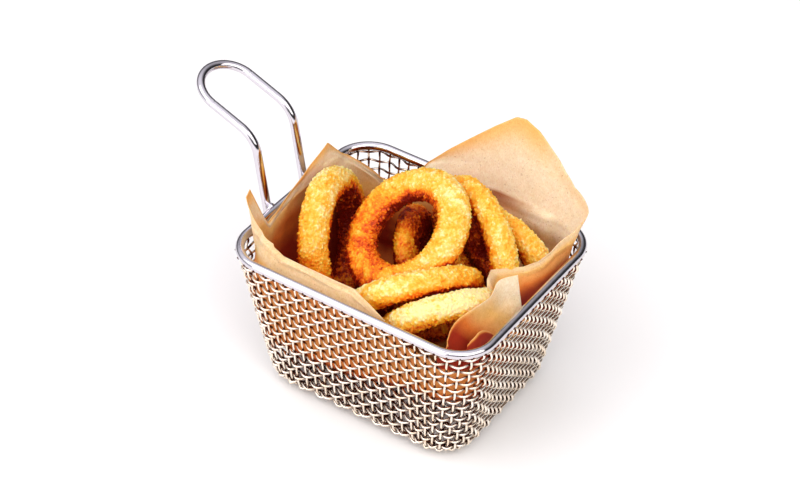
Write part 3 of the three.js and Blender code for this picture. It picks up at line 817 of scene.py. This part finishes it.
def paper_dish(places, vs):
    """Middle surface of the liner for places round it and v from 0, the edge, to 1, the middle.

    From edge to waist to turn the height falls evenly. The sheet leans in or out above the rim,
    follows a quarter circle at the turn, and then shrinks towards the middle of the floor.
    """
    place, v = np.meshgrid(places, vs)
    knots = np.concatenate([PAPER_EDGE, PAPER_EDGE[:1] + [ROUND, 0, 0]])
    edge_height = np.interp(place, knots[:, 0], knots[:, 1], period=ROUND)
    edge_in = np.interp(place, knots[:, 0], knots[:, 2], period=ROUND)
    foot, _ = outline(paper_half(PAPER_FLOOR + PAPER_FILLET), PAPER_CORNER, place)
    turn_height = paper_floor(0.9 * foot[..., 0], 0.9 * foot[..., 1]) + PAPER_FILLET
    waist = np.minimum(ROD_TOP, edge_height - BAND_HEIGHT)
    height = np.where(v < WAIST_AT, edge_height + (waist - edge_height) * v / WAIST_AT,
                      waist + (turn_height - waist) * (v - WAIST_AT) / (WALL_END - WAIST_AT))
    height = np.where(v > WALL_END, turn_height, height)
    begin = np.where(edge_in < 0, ROD_TOP, np.minimum(LEAN_FROM, edge_height - LEAN_LEAST))
    lean = np.maximum(height - begin, 0) / np.maximum(edge_height - begin, 1)
    angle = np.pi / 2 * np.clip((v - WALL_END) / (FILLET_END - WALL_END), 0, 1)
    inward = edge_in * np.where(edge_in < 0, lean, lean ** LEAN_CURVE)
    inward = inward + PAPER_FILLET * (1 - np.cos(angle))
    share = np.clip((1 - v) / (1 - FILLET_END), 0, 1)
    point, normal = outline(paper_half(height), PAPER_CORNER, place)
    flat = (point - normal * inward[..., None]) * share[..., None]
    blend, turned = rise(0.7, 1, share), turn_height - PAPER_FILLET
    low = paper_floor(flat[..., 0], flat[..., 1]) * (1 - blend) + turned * blend
    z = np.where(v < FILLET_END, turn_height - PAPER_FILLET * np.sin(angle), low)
    return lifted(flat, np.where(v <= WALL_END, height, z)), place, v


def grid_normals(points, closed=False):
    """Normals of a grid: the cross product of the steps to its neighbours."""
    return unit(np.cross(ahead(points, closed), np.gradient(points, axis=0)))


def both_sides(middle, closed=False):
    """Points of a sheet's two sides, each half a thickness off its middle, as one list."""
    off = grid_normals(middle, closed) * PAPER_THICKNESS / 2
    return np.concatenate([middle + off, middle - off]).reshape(-1, 3)


def sheet_faces(rows, columns, closed=False):
    """Faces of a sheet's two sides and of its edge; the second side's points follow the first's."""
    half = rows * columns
    faces = [grid_faces(rows, columns, close_columns=closed),
             grid_faces(rows, columns, close_columns=closed, first=half, flip=True)]
    loop = [np.arange(columns)]
    if not closed:
        loop += [(np.arange(rows) + 1) * columns - 1, np.arange(half - 1, half - 1 - columns, -1),
                 np.arange(rows - 1, -1, -1) * columns]
    for line in loop:
        a, b = (line, np.roll(line, -1)) if closed else (line[:-1], line[1:])
        faces.append(np.stack([a, a + half, b + half, b], axis=-1))
    return faces


print("the paper's edge lies between", PAPER_EDGE[:, 1].min(), "and", PAPER_EDGE[:, 1].max(), "mm")

# %% [markdown]
# ## How the rings lie, and how hidden a place is
#
# The finishes paint shade where rings touch or face down, into the crust and into the paper under
# them, so they need to know how hidden each point is. One could bake it with rays. A distance formula
# does it in whole arrays: walk off the surface in a few directions, and ask at each stop how far the
# nearest thing is. In the open that grows with the walk. In a gap it stays small.

# %% Ring sizes and hidden places
# tube is half the thickness, flat above 1 makes it wider than thick, and oval and turn shape and
# turn the loop. The last two numbers paint shade and browning: a direction from the middle to the
# browner, more shaded side, and how brown the ring is all round.
RINGS = [
    dict(centre=[-43.0, 1.1, 59.2], axis=[0.94, 0.28, 0.20], radius=26.7, tube=7.4, flat=1.02,
         brown_and_shade=[0.0, -0.35, -0.6], done_and_shade=-0.06),
    dict(centre=[-3.5, 1.2, 81.5], axis=[-0.30, -0.56, 0.77], radius=24.3, tube=7.3, flat=1.09,
         oval=-0.02, turn=-0.18, brown_and_shade=[-0.62, -0.5, -0.25], done_and_shade=-0.03),
    dict(centre=[-9.9, 23.0, 50.4], axis=[0.88, 0.33, 0.33], radius=16.9, tube=6.6, flat=1.17,
         brown_and_shade=[0.0, 0.0, -0.2], done_and_shade=0.26),
    dict(centre=[18.6, 25.0, 67.6], axis=[-0.49, -0.87, 0.06], radius=26.2, tube=7.0, flat=1.08,
         oval=0.05, turn=-0.24, brown_and_shade=[-0.40, -0.10, 0.25], done_and_shade=-0.20),
    dict(centre=[32.4, 35.2, 60.2], axis=[-0.24, -0.96, -0.12], radius=19.6, tube=6.7, flat=1.10,
         oval=0.04, turn=-0.05, brown_and_shade=[-0.45, 0.0, 0.25], done_and_shade=-0.25),
    dict(centre=[12.9, -17.2, 66.3], axis=[-0.60, 0.49, 0.63], radius=24.4, tube=6.4, flat=1.06,
         oval=0.02, turn=-0.08, brown_and_shade=[0.25, 0.20, 0.0], done_and_shade=-0.22),
    dict(centre=[30.1, -21.5, 64.1], axis=[-0.63, 0.48, 0.60], radius=21.3, tube=6.7, flat=1.04,
         brown_and_shade=[0.0, -0.2, -0.3], done_and_shade=-0.44),
]
# Directions out of the basket, and how much each counts; most of what happens comes from above.
WAYS_OUT = np.array([[0.0, 0.0, 1.0, 1.0], [0.1, -0.8, 0.6, 0.9], [0.78, -0.2, 0.6, 0.8],
                     [-0.6, -0.3, 0.75, 0.5], [0.0, 0.75, 0.65, 0.5]])
WALKS = (4.0, 10.0, 22.0)       # how far off the surface the gaps are measured
OPENING = 0.33                  # a way is clear if the gap beside it is a third of the walk
GRAZE = 0.3                     # a surface still sees a little of what lies edge-on to it
OPEN_SUM = 2.4                  # what an open place adds up to, at least
OVER_WALL, OVER_WALL_GAIN = 6.0, 2.0    # from this far under the rim up, the wall counts less


def ring_gap(points):
    """Distance to the nearest crust: to each ring's circle, sqrt((rho - radius)^2 + h^2) - tube."""
    nearest = np.full(points.shape[:-1], np.inf)
    for ring in RINGS:
        offset, axis = points - np.array(ring["centre"]), unit(np.array(ring["axis"]))
        h = offset @ axis
        rho = np.linalg.norm(offset - h[..., None] * axis, axis=-1)
        nearest = np.minimum(nearest, np.hypot(rho - ring["radius"], h) - ring["tube"])
    return nearest


def wall_gap(points):
    """Distance to the paper's wall, which leans in below the rim and is left behind above it."""
    above = points[..., 2] - RIM_HEIGHT
    wall = np.min(PAPER_RIM_HALF - np.abs(points[..., :2]), axis=-1)
    return (np.maximum(wall + WALL_SLOPE * above, 0)
            + OVER_WALL_GAIN * np.maximum(above + OVER_WALL, 0))


def hidden_places(points, normals):
    """From 0 in the open to 1 in a deep gap.

    For each way out w the clearance is the least of gap / (OPENING * walk) over three walks, at
    most 1. A way counts by how well the point faces it: normal . w + GRAZE, where above 0.
    """
    seen = 0
    for *way, share in WAYS_OUT:
        way = unit(np.array(way))
        clear = 1.0
        for walk in WALKS:
            probe = points + normals + walk * way
            gap = np.minimum(ring_gap(probe), wall_gap(probe))
            clear = np.minimum(clear, np.clip(gap / (OPENING * walk), 0, 1))
        seen = seen + share * clear * np.clip(normals @ way + GRAZE, 0, None) / (1 + GRAZE)
    return np.clip(1 - seen / OPEN_SUM, 0, 1)


test_places = np.array([[0.0, 0, 120], [-26, 0, 50]])
test_normals = np.array([[0.0, 0, 1], [1, 0, 0]])
print("hidden above the basket and between two rings:",
      np.round(hidden_places(test_places, test_normals), 2))

# %% [markdown]
# ### The creased sheet
#
# The smooth dish gets its folds: straight zigzags in two sizes, which leave flat facets between
# sharp lines as paper does, and one pleat across the tall back flap. Then it gets its thickness.
#
# Each point keeps a number for oil and painted shade. Inside, the painted shade lies under the rings,
# down the wall and along the pleat. Outside, it shows below the rim and the paper stays pale above
# it.

# %% Fold and crease the liner
PAPER_COLUMNS = 430
SHEET_LENGTH = 150.0            # from the edge to the middle, for the creases
PLEAT_AT, PLEAT_DEPTH = 0.235, 2.4          # the pleat lies just above the rim
# Rows of points above the waist, down the wall, round the turn and across the floor.
PAPER_VS = np.concatenate([np.linspace(0, WAIST_AT, 34, endpoint=False),
                           np.linspace(WAIST_AT, WALL_END, 34, endpoint=False),
                           np.linspace(WALL_END, FILLET_END, 12, endpoint=False),
                           np.linspace(FILLET_END, 0.995, 30)])

dish, place, v = paper_dish(np.linspace(0, ROUND, PAPER_COLUMNS, endpoint=False), PAPER_VS)
dish_normal = grid_normals(dish, True)
fold_at = np.abs(place - ROUND / 2), SHEET_LENGTH * v
relief = 0.35 * creases(*fold_at, 5, 7, 30) + 0.18 * creases(*fold_at, 9, 9, 13)
relief = relief * (1 - rise(0.9, 1.0, v))
on_flap = rise(back(46), back(40), place) * rise(back(0), back(14), place)
step_in = PLEAT_DEPTH * on_flap * rise(PLEAT_AT - 0.01, PLEAT_AT + 0.012, v)
step_in = step_in * (1 - rise(0.3, 0.5, v))
dish = dish + dish_normal * (relief * 0.7 + 0.55 * rise(0.16, 0.3, v) + step_in)[..., None]
dish_normal = grid_normals(dish, True)

both = both_sides(dish, closed=True)
caps = []
for first in (0, dish_normal[..., 0].size):
    last = first + (len(PAPER_VS) - 1) * PAPER_COLUMNS + np.arange(PAPER_COLUMNS)
    caps.append(fan(last, len(both), flip=first > 0))
    both = np.concatenate([both, both[last].mean(axis=0, keepdims=True)])
print("middle of the floor at", np.round(both[-2:], 1).tolist(), "mm")

# %% Oil and painted shade in the liner
x, y, z = np.moveaxis(dish, -1, 0)
# Painted shade: the more hidden a place, the more the paper darkens, with a little noise.
paper_hidden = hidden_places(dish, dish_normal) + 0.04 * noise(dish, 12.0, 3)
# Painted shadow along the line of the pleat on the back flap.
pleat_shadow = np.exp(-((v - PLEAT_AT) / np.where(v < PLEAT_AT, 0.006, 0.03)) ** 2)
pleat_shadow = pleat_shadow * on_flap * rise(back(44), back(12), place)
upper_edge = 0.36 * rise(0.13, 0.0, v) * (0.35 + 0.65 * rise(back(40), back(26), place))
# Painted shade: darker deeper in the basket, and at the left end behind the first ring.
deep = rise(67, 42, z) * (0.5 + 0.5 * rise(15, -25, x))
left_end = rise(-40, -56, x) * (0.2 + 0.8 * rise(18, -8, y))
right_band = rise(corner(0, 0.4), right(-8), place) * rise(corner(1, 0.5), corner(1, 0.1), place)
oil_and_shade_inside = (0.36 * rise(0.4, 0.95, paper_hidden) + 0.75 * deep) * rise(0.12, 0.26, v)
oil_and_shade_inside = oil_and_shade_inside + 0.15 * pleat_shadow + upper_edge
oil_and_shade_inside = oil_and_shade_inside + left_end * (0.06 + 0.40 * rise(0.12, 0.32, v))
# Outside: an even tint, with painted shade along the right band, below the rim and under the floor.
oil_and_shade_outside = 0.16 + 0.36 * right_band * rise(0.03, 0.26, v) + 0.44 * rise(75, 69, z)
oil_and_shade_outside = oil_and_shade_outside + 0.3 * rise(0.55, 0.7, v) + 0.06 * noise(dish, 14.0, 8)
oil = [np.clip(side, 0, 1).ravel() for side in (oil_and_shade_inside, oil_and_shade_outside)]
# Painted shade under the band on the right and below the sheet's turn; with the pleat's shadow it
# multiplies the colour.
shade = 0.6 * right_band * rise(0.26, 0.32, v) + 0.9 * rise(0.61, 0.66, v)
liner = new_piece("paper_liner_sheet", both, sheet_faces(*v.shape, closed=True) + caps,
                  {"oil": np.concatenate([*oil, [0.9, 0.5]]),
                   "crease": np.concatenate([pleat_shadow.ravel(), shade.ravel(), [0, 0.9]])})

# %% [markdown]
# ### The curled corner and its tongue
#
# At the near corner the sheet is wide: it stands up against the wall on both sides of the corner
# and rolls inward over it. Its free edge is a smooth line through a few points, and the surface
# runs straight from that edge to the wall, which is how paper bends when it is not stretched; only
# its middle is hollowed a little. A small tongue of the same sheet stands between the roll and the
# wall, and is made in the same way.

# %% Curl and tongue
CURL_EDGE = np.array([[57.2, -4.2, 90], [51.4, -10.6, 88.2], [52.2, -18, 84.6], [50.2, -28.5, 84.2],
                      [47.6, -35.6, 82.2], [46.4, -40.3, 79], [47.2, -44.2, 76], [49, -46.6, 74.5]])
CURL_GRID, CURL_FOOT, CURL_HOLLOW = (80, 150), 63.0, 5.5
CURL_WIDTH, CURL_DEPTH = 90.0, 30.0
FOLD_EDGE = np.array([[55.6, -41.2, 75], [56.6, -40.6, 77.2], [57.7, -39.1, 79], [58.4, -37, 80.6],
                      [58.8, -33.2, 79.2], [58.2, -27.2, 73.8], [58, -24.5, 70.4]])
FOLD_GRID, FOLD_FOOT, FOLD_INSET = (30, 60), 62.0, 0.6


def smooth_line(points, t):
    """A Catmull-Rom curve through points for t from 0 to 1: each stretch is a cubic whose ends
    point along the line between the neighbours of that end."""
    padded = np.concatenate([2 * points[:1] - points[1:2], points, 2 * points[-1:] - points[-2:-1]])
    x = np.clip(t, 0, 1) * (len(points) - 1)
    i = np.minimum(x.astype(int), len(points) - 2)
    s = (x - i)[:, None]
    a, b, c, d = (padded[i + k] for k in range(4))
    return 0.5 * (2 * b + (c - a) * s + (2 * a - 5 * b + 4 * c - d) * s ** 2
                  + (3 * b - a - 3 * c + d) * s ** 3)


def flap(grid, edge_points, foot_height, first, last, inset=0.0):
    """A ruled sheet, edge + (foot - edge) * v, whose foot follows the wall from first to last."""
    u, v = np.linspace(0, 1, grid[1]), np.linspace(0, 1, grid[0])[:, None, None]
    edge = smooth_line(edge_points, u)
    foot, out = outline(paper_half(foot_height), PAPER_CORNER, first + (last - first) * u)
    return edge + (lifted(foot - inset * out, foot_height) - edge) * v


def flap_piece(name, middle, *oils_and_shades):
    """The flap with its thickness and the oil and painted shade of its two sides."""
    return new_piece(name, both_sides(middle), sheet_faces(*middle.shape[:2]),
                     {"oil": np.concatenate([oil.ravel() for oil in oils_and_shades])})


u, v = np.meshgrid(np.linspace(0, CURL_WIDTH, CURL_GRID[1]),
                   np.linspace(0, CURL_DEPTH, CURL_GRID[0]))
curl = flap(CURL_GRID, CURL_EDGE, CURL_FOOT, right(-2), front(44))
curl[..., 2] -= CURL_HOLLOW * np.sin(np.pi * u / CURL_WIDTH) * np.sin(np.pi * v / CURL_DEPTH)
fade = np.minimum(rise(0, 12, u) * rise(0, 12, CURL_WIDTH - u), rise(0, 8, CURL_DEPTH - v))
curl = curl + grid_normals(curl) * (0.8 * 0.35 * creases(u, v, 21, 6, 22) * fade)[..., None]
# Painted shade: darker and redder towards the front end and the foot of the roll, and in a patch in
# its hollow.
darker_patch = 0.55 * np.exp(-((u - 66) / 18) ** 2 - ((v - 16) / 11) ** 2)
curl_oil_and_shade = rise(0.1, 0.8, u / CURL_WIDTH + 0.3 * v / CURL_DEPTH + 0.05 * noise(curl, 9.0, 4))
curl_oil_and_shade = (0.9 * curl_oil_and_shade + darker_patch) * (0.5 + 0.5 * rise(0, 1.5, v))
curl_piece = flap_piece("paper_curl", curl, curl_oil_and_shade, 0.45 + 0.2 * curl_oil_and_shade)

fold = flap(FOLD_GRID, FOLD_EDGE, FOLD_FOOT, corner(0, 0.5), right(-22), FOLD_INSET)
# Painted shade: the tongue is darker below a thin pale strip along its edge.
fold_oil_and_shade = np.repeat(0.45 + 0.55 * rise(0.02, 0.12, np.linspace(0, 1, FOLD_GRID[0])), FOLD_GRID[1])
fold_piece = flap_piece("paper_fold", fold, fold_oil_and_shade, fold_oil_and_shade)

# %% [markdown]
# ### Kraft paper
#
# Kraft paper is light tan, matt, with darker fibres that all lie roughly one way and a faint
# mottling from the pulp. The colour varies slowly, the fibres are noise stretched long and thin,
# and the relief is very low, so that it only shows at grazing light. The stored number for oil and
# painted shade picks a deeper, redder tint that multiplies the tan; a second stored number, painted
# shade along the pleat and under the sheet, darkens it in the same way.

# %% Paper finish
def paper_finish():
    f = Finish("kraft_liner", Roughness=0.8, Specular_IOR_Level=0.3, Subsurface_Weight=0.2,
               Subsurface_Scale=0.001, Subsurface_Radius=(1.0, 0.4, 0.12))
    cloud = f.spread(f.speckle(420.0, detail=5.0, roughness=0.7), 0.32, 0.68)
    fibre = f.speckle(2600.0, detail=3.0, stretch=(1.0, 1.0, 0.25))
    speck = f.spread(f.speckle(1900.0, detail=1.0, stretch=(0.5, 1.0, 1.0)), 0.68, 0.74)
    base = f.mix(cloud, srgb(232, 214, 178), srgb(244, 230, 202))
    base = f.mix(f.spread(fibre, 0.35, 0.75) * 0.4, base, srgb(214, 160, 100))
    base = f.mix(speck * 0.5, base, srgb(150, 90, 48))
    # Oil and painted shade: the stored number picks a deeper, redder tint.
    oil_and_shade_tint = f.ramp(f.stored("oil"), [(0.0, (1, 1, 1, 1)), (0.35, srgb(252, 212, 146)),
                                        (0.7, srgb(236, 138, 62)), (1.0, srgb(168, 46, 10))])
    base = f.mix(1.0, base, oil_and_shade_tint, "MULTIPLY")
    # Painted shade and shadow: the second stored number multiplies in a brown.
    f.wire("Base Color", f.mix(f.stored("crease"), base, srgb(150, 92, 58), "MULTIPLY"))
    f.bump(fibre * 0.6 + cloud * 0.4, 0.00012, 0.6)
    return f.material


kraft = paper_finish()
for sheet in (liner, curl_piece, fold_piece):
    sheet.data.materials.append(kraft)
print("paper finish on", liner.name, "and", curl_piece.name, "and", fold_piece.name)

# %% [markdown]
# ## Onion rings
#
# A ring is a loop of onion in a thick crumb crust. Sculpting would give the crags, but a formula
# can be repeated for seven rings: a slightly oval loop, a section round it, and on top of that
# lumps of several sizes and three layers of crumbs. All of it moves the surface itself, so the
# outline is rough too. Each point keeps how high it stands, and how brown it is with painted shade,
# for the colour.

# %% Ring shapes
RING_GRAIN = 0.34               # distance between points on the crust
CORE = 0.955                    # the crust's lowest level, as a share of the coating's radius
CRUST_IN = 0.3                  # taken off the crust's height, so that it grows in as well as out
BIG, SMALL, TINY = 1.9, 1.1, 0.66       # distances between the crumbs of the three layers


def crumbs(base, seed):
    """Height of the crumbs in millimetres, their mean tone, and paler and darker patches.

    Grains of three sizes are added up, each by its own random number, and pits are taken off. The
    places are warped by noise first, so that the grains are not evenly round.
    """
    warped = base + 0.35 * np.stack([noise(base, 1.1, seed + k) for k in (2, 3, 4)], axis=-1)
    big, big_tone = grains(warped, BIG, seed + 10)
    small, small_tone = grains(warped, SMALL, seed + 20)
    tiny, tiny_tone = grains(base, TINY, seed + 30)
    pits = rise(0.5, 0.85, noise(warped, 2.0, seed + 40))
    height = 0.3 * big * (0.3 + big_tone) + 0.85 * small * (0.1 + small_tone ** 2)
    height = height + 0.6 * tiny * tiny_tone ** 2 - 0.2 * pits
    patches = 0.6 * noise(base, 5.0, seed + 5) + 0.6 * noise(base, 1.9, seed + 6) - 0.6 * pits
    return height, (big_tone + small_tone + tiny_tone) / 3, patches


def browning_and_shade(base, direction, inward, one_sided):
    """How brown the crust is, -0.8 to 0.85, with painted shade: more where it is hidden, faces the
    hole or faces down, and where it lies deep in the back or right of the basket."""
    hidden = hidden_places(base, unit(direction))
    brown_and_shade = 0.4 * rise(0.15, 0.75, hidden) + 0.3 * rise(0.65, 1.0, hidden)
    brown_and_shade = brown_and_shade + 0.24 * rise(0.1, 1, inward) + 0.33 * rise(-0.6, 0.2, -direction[..., 2])
    behind = np.maximum(rise(-12, 10, base[..., 1]), rise(-10, 5, base[..., 0]))
    brown_and_shade = brown_and_shade + 0.34 * rise(74, 50, base[..., 2]) * behind + one_sided
    return np.clip(brown_and_shade, 1.6 * rise(-0.1, 0.9, -direction[..., 2]) - 0.8, 0.85)


def ring_surface(centre, axis, radius, tube, brown_and_shade, done_and_shade, flat=1.0, oval=0.0, turn=0.0, seed=0):
    """Points of a crumbed ring on a grid, and what each point keeps for the colour.

    The loop is an oval in the plane square to the axis. The section is an ellipse, wider across
    the ring where flat is above 1. The crust stands off along the section's normal.
    """
    rows = int(2 * np.pi * (radius + 0.4 * tube) / RING_GRAIN)
    columns = int(2 * np.pi * tube / RING_GRAIN)
    around = (2 * np.pi * np.arange(rows) / rows)[:, None]
    section = (2 * np.pi * np.arange(columns) / columns)[None, :]
    normal = unit(np.array(axis))
    level = unit(np.cross([0, 0, 1.0], normal))
    upright = np.cross(normal, level)

    def line(angle):
        p, q = radius * (1 + oval) * np.cos(angle), radius * (1 - oval) * np.sin(angle)
        return ((p * np.cos(turn) - q * np.sin(turn))[..., None] * level
                + (p * np.sin(turn) + q * np.cos(turn))[..., None] * upright)

    loop = line(around)
    outward = np.cross(unit(line(around + 1e-3) - loop), normal)
    direction = (outward * (flat * np.cos(section))[..., None]
                 + normal * (np.sin(section) / flat)[..., None])
    base = np.array(centre) + loop + direction * (tube * CORE)
    height, tone, patches = crumbs(base, seed)
    lumps = 0.28 * noise(base, 9.0, seed) + 0.2 * noise(base, 4.2, seed + 1)
    points = base + unit(direction) * (height + lumps - CRUST_IN)[..., None]
    # Painted shade on one side of the ring, with the ring's own browning all round.
    one_sided = done_and_shade + 0.35 * unit(loop) @ np.array(brown_and_shade)
    toast_and_shade = browning_and_shade(base, direction, -np.cos(section), one_sided)
    return points, {"height": height, "tone": tone, "hidden": toast_and_shade, "patches": patches}


ring_pieces = []
for number, ring in enumerate(RINGS, start=1):
    points, kept = ring_surface(**ring, seed=101 * number)
    faces = grid_faces(*points.shape[:2], close_rows=True, close_columns=True, flip=True)
    piece = new_piece(f"crumbed_ring_{number}", points, [faces], kept)
    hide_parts(f"onion_ring_{number}")
    ring_pieces.append(piece)

# %% [markdown]
# ### Fried crumb
#
# The crust is pale gold where crumbs stand proud, deeper gold between them, and orange to brown
# where it is hidden or faces down, which is painted shade. The mesh already knows each point's height
# and its browning with that painted shade, so one level is worked out from them and a ramp turns it
# into a colour. A little light goes into the crust and comes out warmer, which subsurface scattering
# gives.

# %% Crumb finish
def crumb_finish():
    f = Finish("fried_crumb", Roughness=0.45, Specular_IOR_Level=0.2, Subsurface_Weight=0.45,
               Subsurface_Scale=0.0032, Subsurface_Radius=(1.0, 0.4, 0.1))
    height, tone = f.stored("height"), f.stored("tone")
    hidden, patches = f.stored("hidden"), f.stored("patches")
    fine = f.speckle(2200.0, detail=2.0)
    # Painted shade: the stored hidden number pulls the level down towards orange, red and brown.
    level = height * 0.2 + tone * 0.26 + patches * 0.26 + fine * 0.12 + 0.36 - hidden * 0.8
    f.wire("Base Color", f.ramp(level.clamped(), [
        (0.0, srgb(120, 18, 3)), (0.18, srgb(206, 70, 8)), (0.36, srgb(240, 122, 18)),
        (0.52, srgb(247, 158, 30)), (0.72, srgb(248, 183, 60)), (0.88, srgb(250, 205, 106)),
        (1.0, srgb(252, 224, 156))]))
    f.bump(fine, 0.00018, 0.9)
    return f.material


crumb = crumb_finish()
for piece in ring_pieces:
    piece.data.materials.append(crumb)
print("crumb finish on", len(ring_pieces), "rings")

# %% [markdown]
# ## Floor and light
#
# The basket stands on a plain pale floor in a bright room. Steel shows what is round it, so the sky
# is brightest above, a little towards the front left, and dark low down, which draws a dark line
# along each rod. Four soft square lamps stand round it: the key light from the right in front, one
# from the left that draws the highlight on the rim, and two that fill the shadows, low in front
# and on the right.

# %% Floor
FLOOR_HALF, FLOOR_AT = 3000.0, -0.05    # three metres to each side, just under the lowest wires

square = np.array([[-1, -1], [1, -1], [1, 1], [-1, 1]]) * FLOOR_HALF
pale = Finish("pale_floor", Roughness=0.7, Base_Color=srgb(253, 252, 251))
floor = new_piece("floor", lifted(square, FLOOR_AT), [np.array([[0, 1, 2, 3]])],
                  material=pale.material, smooth=False)

# %% Sky and lamps
# For each lamp: its place and the place it faces, in metres, its size, its watts and its colour.
LAMPS = {
    "key_light": ((0.52, -0.72, 1.12), (0, 0, 0.07), 0.9, 4.6, (1.0, 0.985, 0.96)),
    "left_light": ((-0.60, -0.58, 1.05), (0, 0, 0.07), 1.0, 3.6, (1.0, 0.985, 0.96)),
    "front_fill": ((-0.25, -1.15, 0.45), (0, 0, 0.05), 0.9, 3.9, (1.0, 0.98, 0.95)),
    "right_fill": ((1.10, -0.32, 0.95), (0, 0, 0.06), 1.2, 8.0, (1.0, 0.97, 0.92)),
}


def pale_room(low, high, towards):
    """A sky whose brightness rises from low to high as the direction nears towards.

    The cosine of the angle between the two is a dot product, which a Map Range node stretches.
    """
    world = bpy.data.worlds.new("pale_room")
    bpy.context.scene.world = world
    world.use_nodes = True
    nodes, links = world.node_tree.nodes, world.node_tree.links
    place, dot = nodes.new("ShaderNodeTexCoord"), nodes.new("ShaderNodeVectorMath")
    stretch = nodes.new("ShaderNodeMapRange")
    dot.operation = "DOT_PRODUCT"
    dot.inputs[1].default_value = unit(np.array(towards)).tolist()
    stretch.interpolation_type = "SMOOTHSTEP"
    for key, value in {"From Min": 0.15, "From Max": 0.9, "To Min": low, "To Max": high}.items():
        stretch.inputs[key].default_value = value
    background = nodes["Background"]
    background.inputs["Color"].default_value = srgb(246, 244, 250)
    links.new(place.outputs["Generated"], dot.inputs[0])
    links.new(dot.outputs["Value"], stretch.inputs["Value"])
    links.new(stretch.outputs["Result"], background.inputs["Strength"])


pale_room(0.05, 1.2, (-0.20, -0.32, 0.92))
for name, (spot, target, size, watts, colour) in LAMPS.items():
    data = bpy.data.lights.new(name, "AREA")
    data.size, data.energy, data.color = size, watts, colour
    toward_lamp = unit(np.array(spot) - np.array(target))
    sideways = unit(np.cross([0, 0, 1.0], toward_lamp))
    link_object(name, data, [sideways, np.cross(toward_lamp, sideways), toward_lamp], spot)
bpy.context.scene.view_settings.view_transform = "Standard"

# %% [markdown]
# ## One body
#
# Each piece rides on the object's one body, and the solids it stands for are hidden.

# %% Ride and replace
STANDS_FOR = {
    "rim": (["rim_rod"], "steel_rod"),
    "handle": (["handle_rod"], "steel_rod"),
    "wire_rows": (["basket_shell"], "woven_wire"),
    "wire_uprights": (["basket_shell"], "woven_wire"),
    "wire_floor": (["basket_shell"], "woven_wire"),
    "wire_ends": (["basket_shell"], "woven_wire"),
    "weld_bead_1": (["handle_rod"], "steel_rod"),
    "weld_bead_2": (["handle_rod"], "steel_rod"),
    "paper_liner_sheet": (["paper_liner"], "liner_paper"),
    "paper_curl": (["paper_liner"], "liner_paper"),
    "paper_fold": (["paper_liner"], "liner_paper"),
}
for name, (nodes, slot) in STANDS_FOR.items():
    piece = bpy.data.objects[name]
    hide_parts(*nodes)
    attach(piece, "root")
for piece in ring_pieces:
    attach(piece, "root")
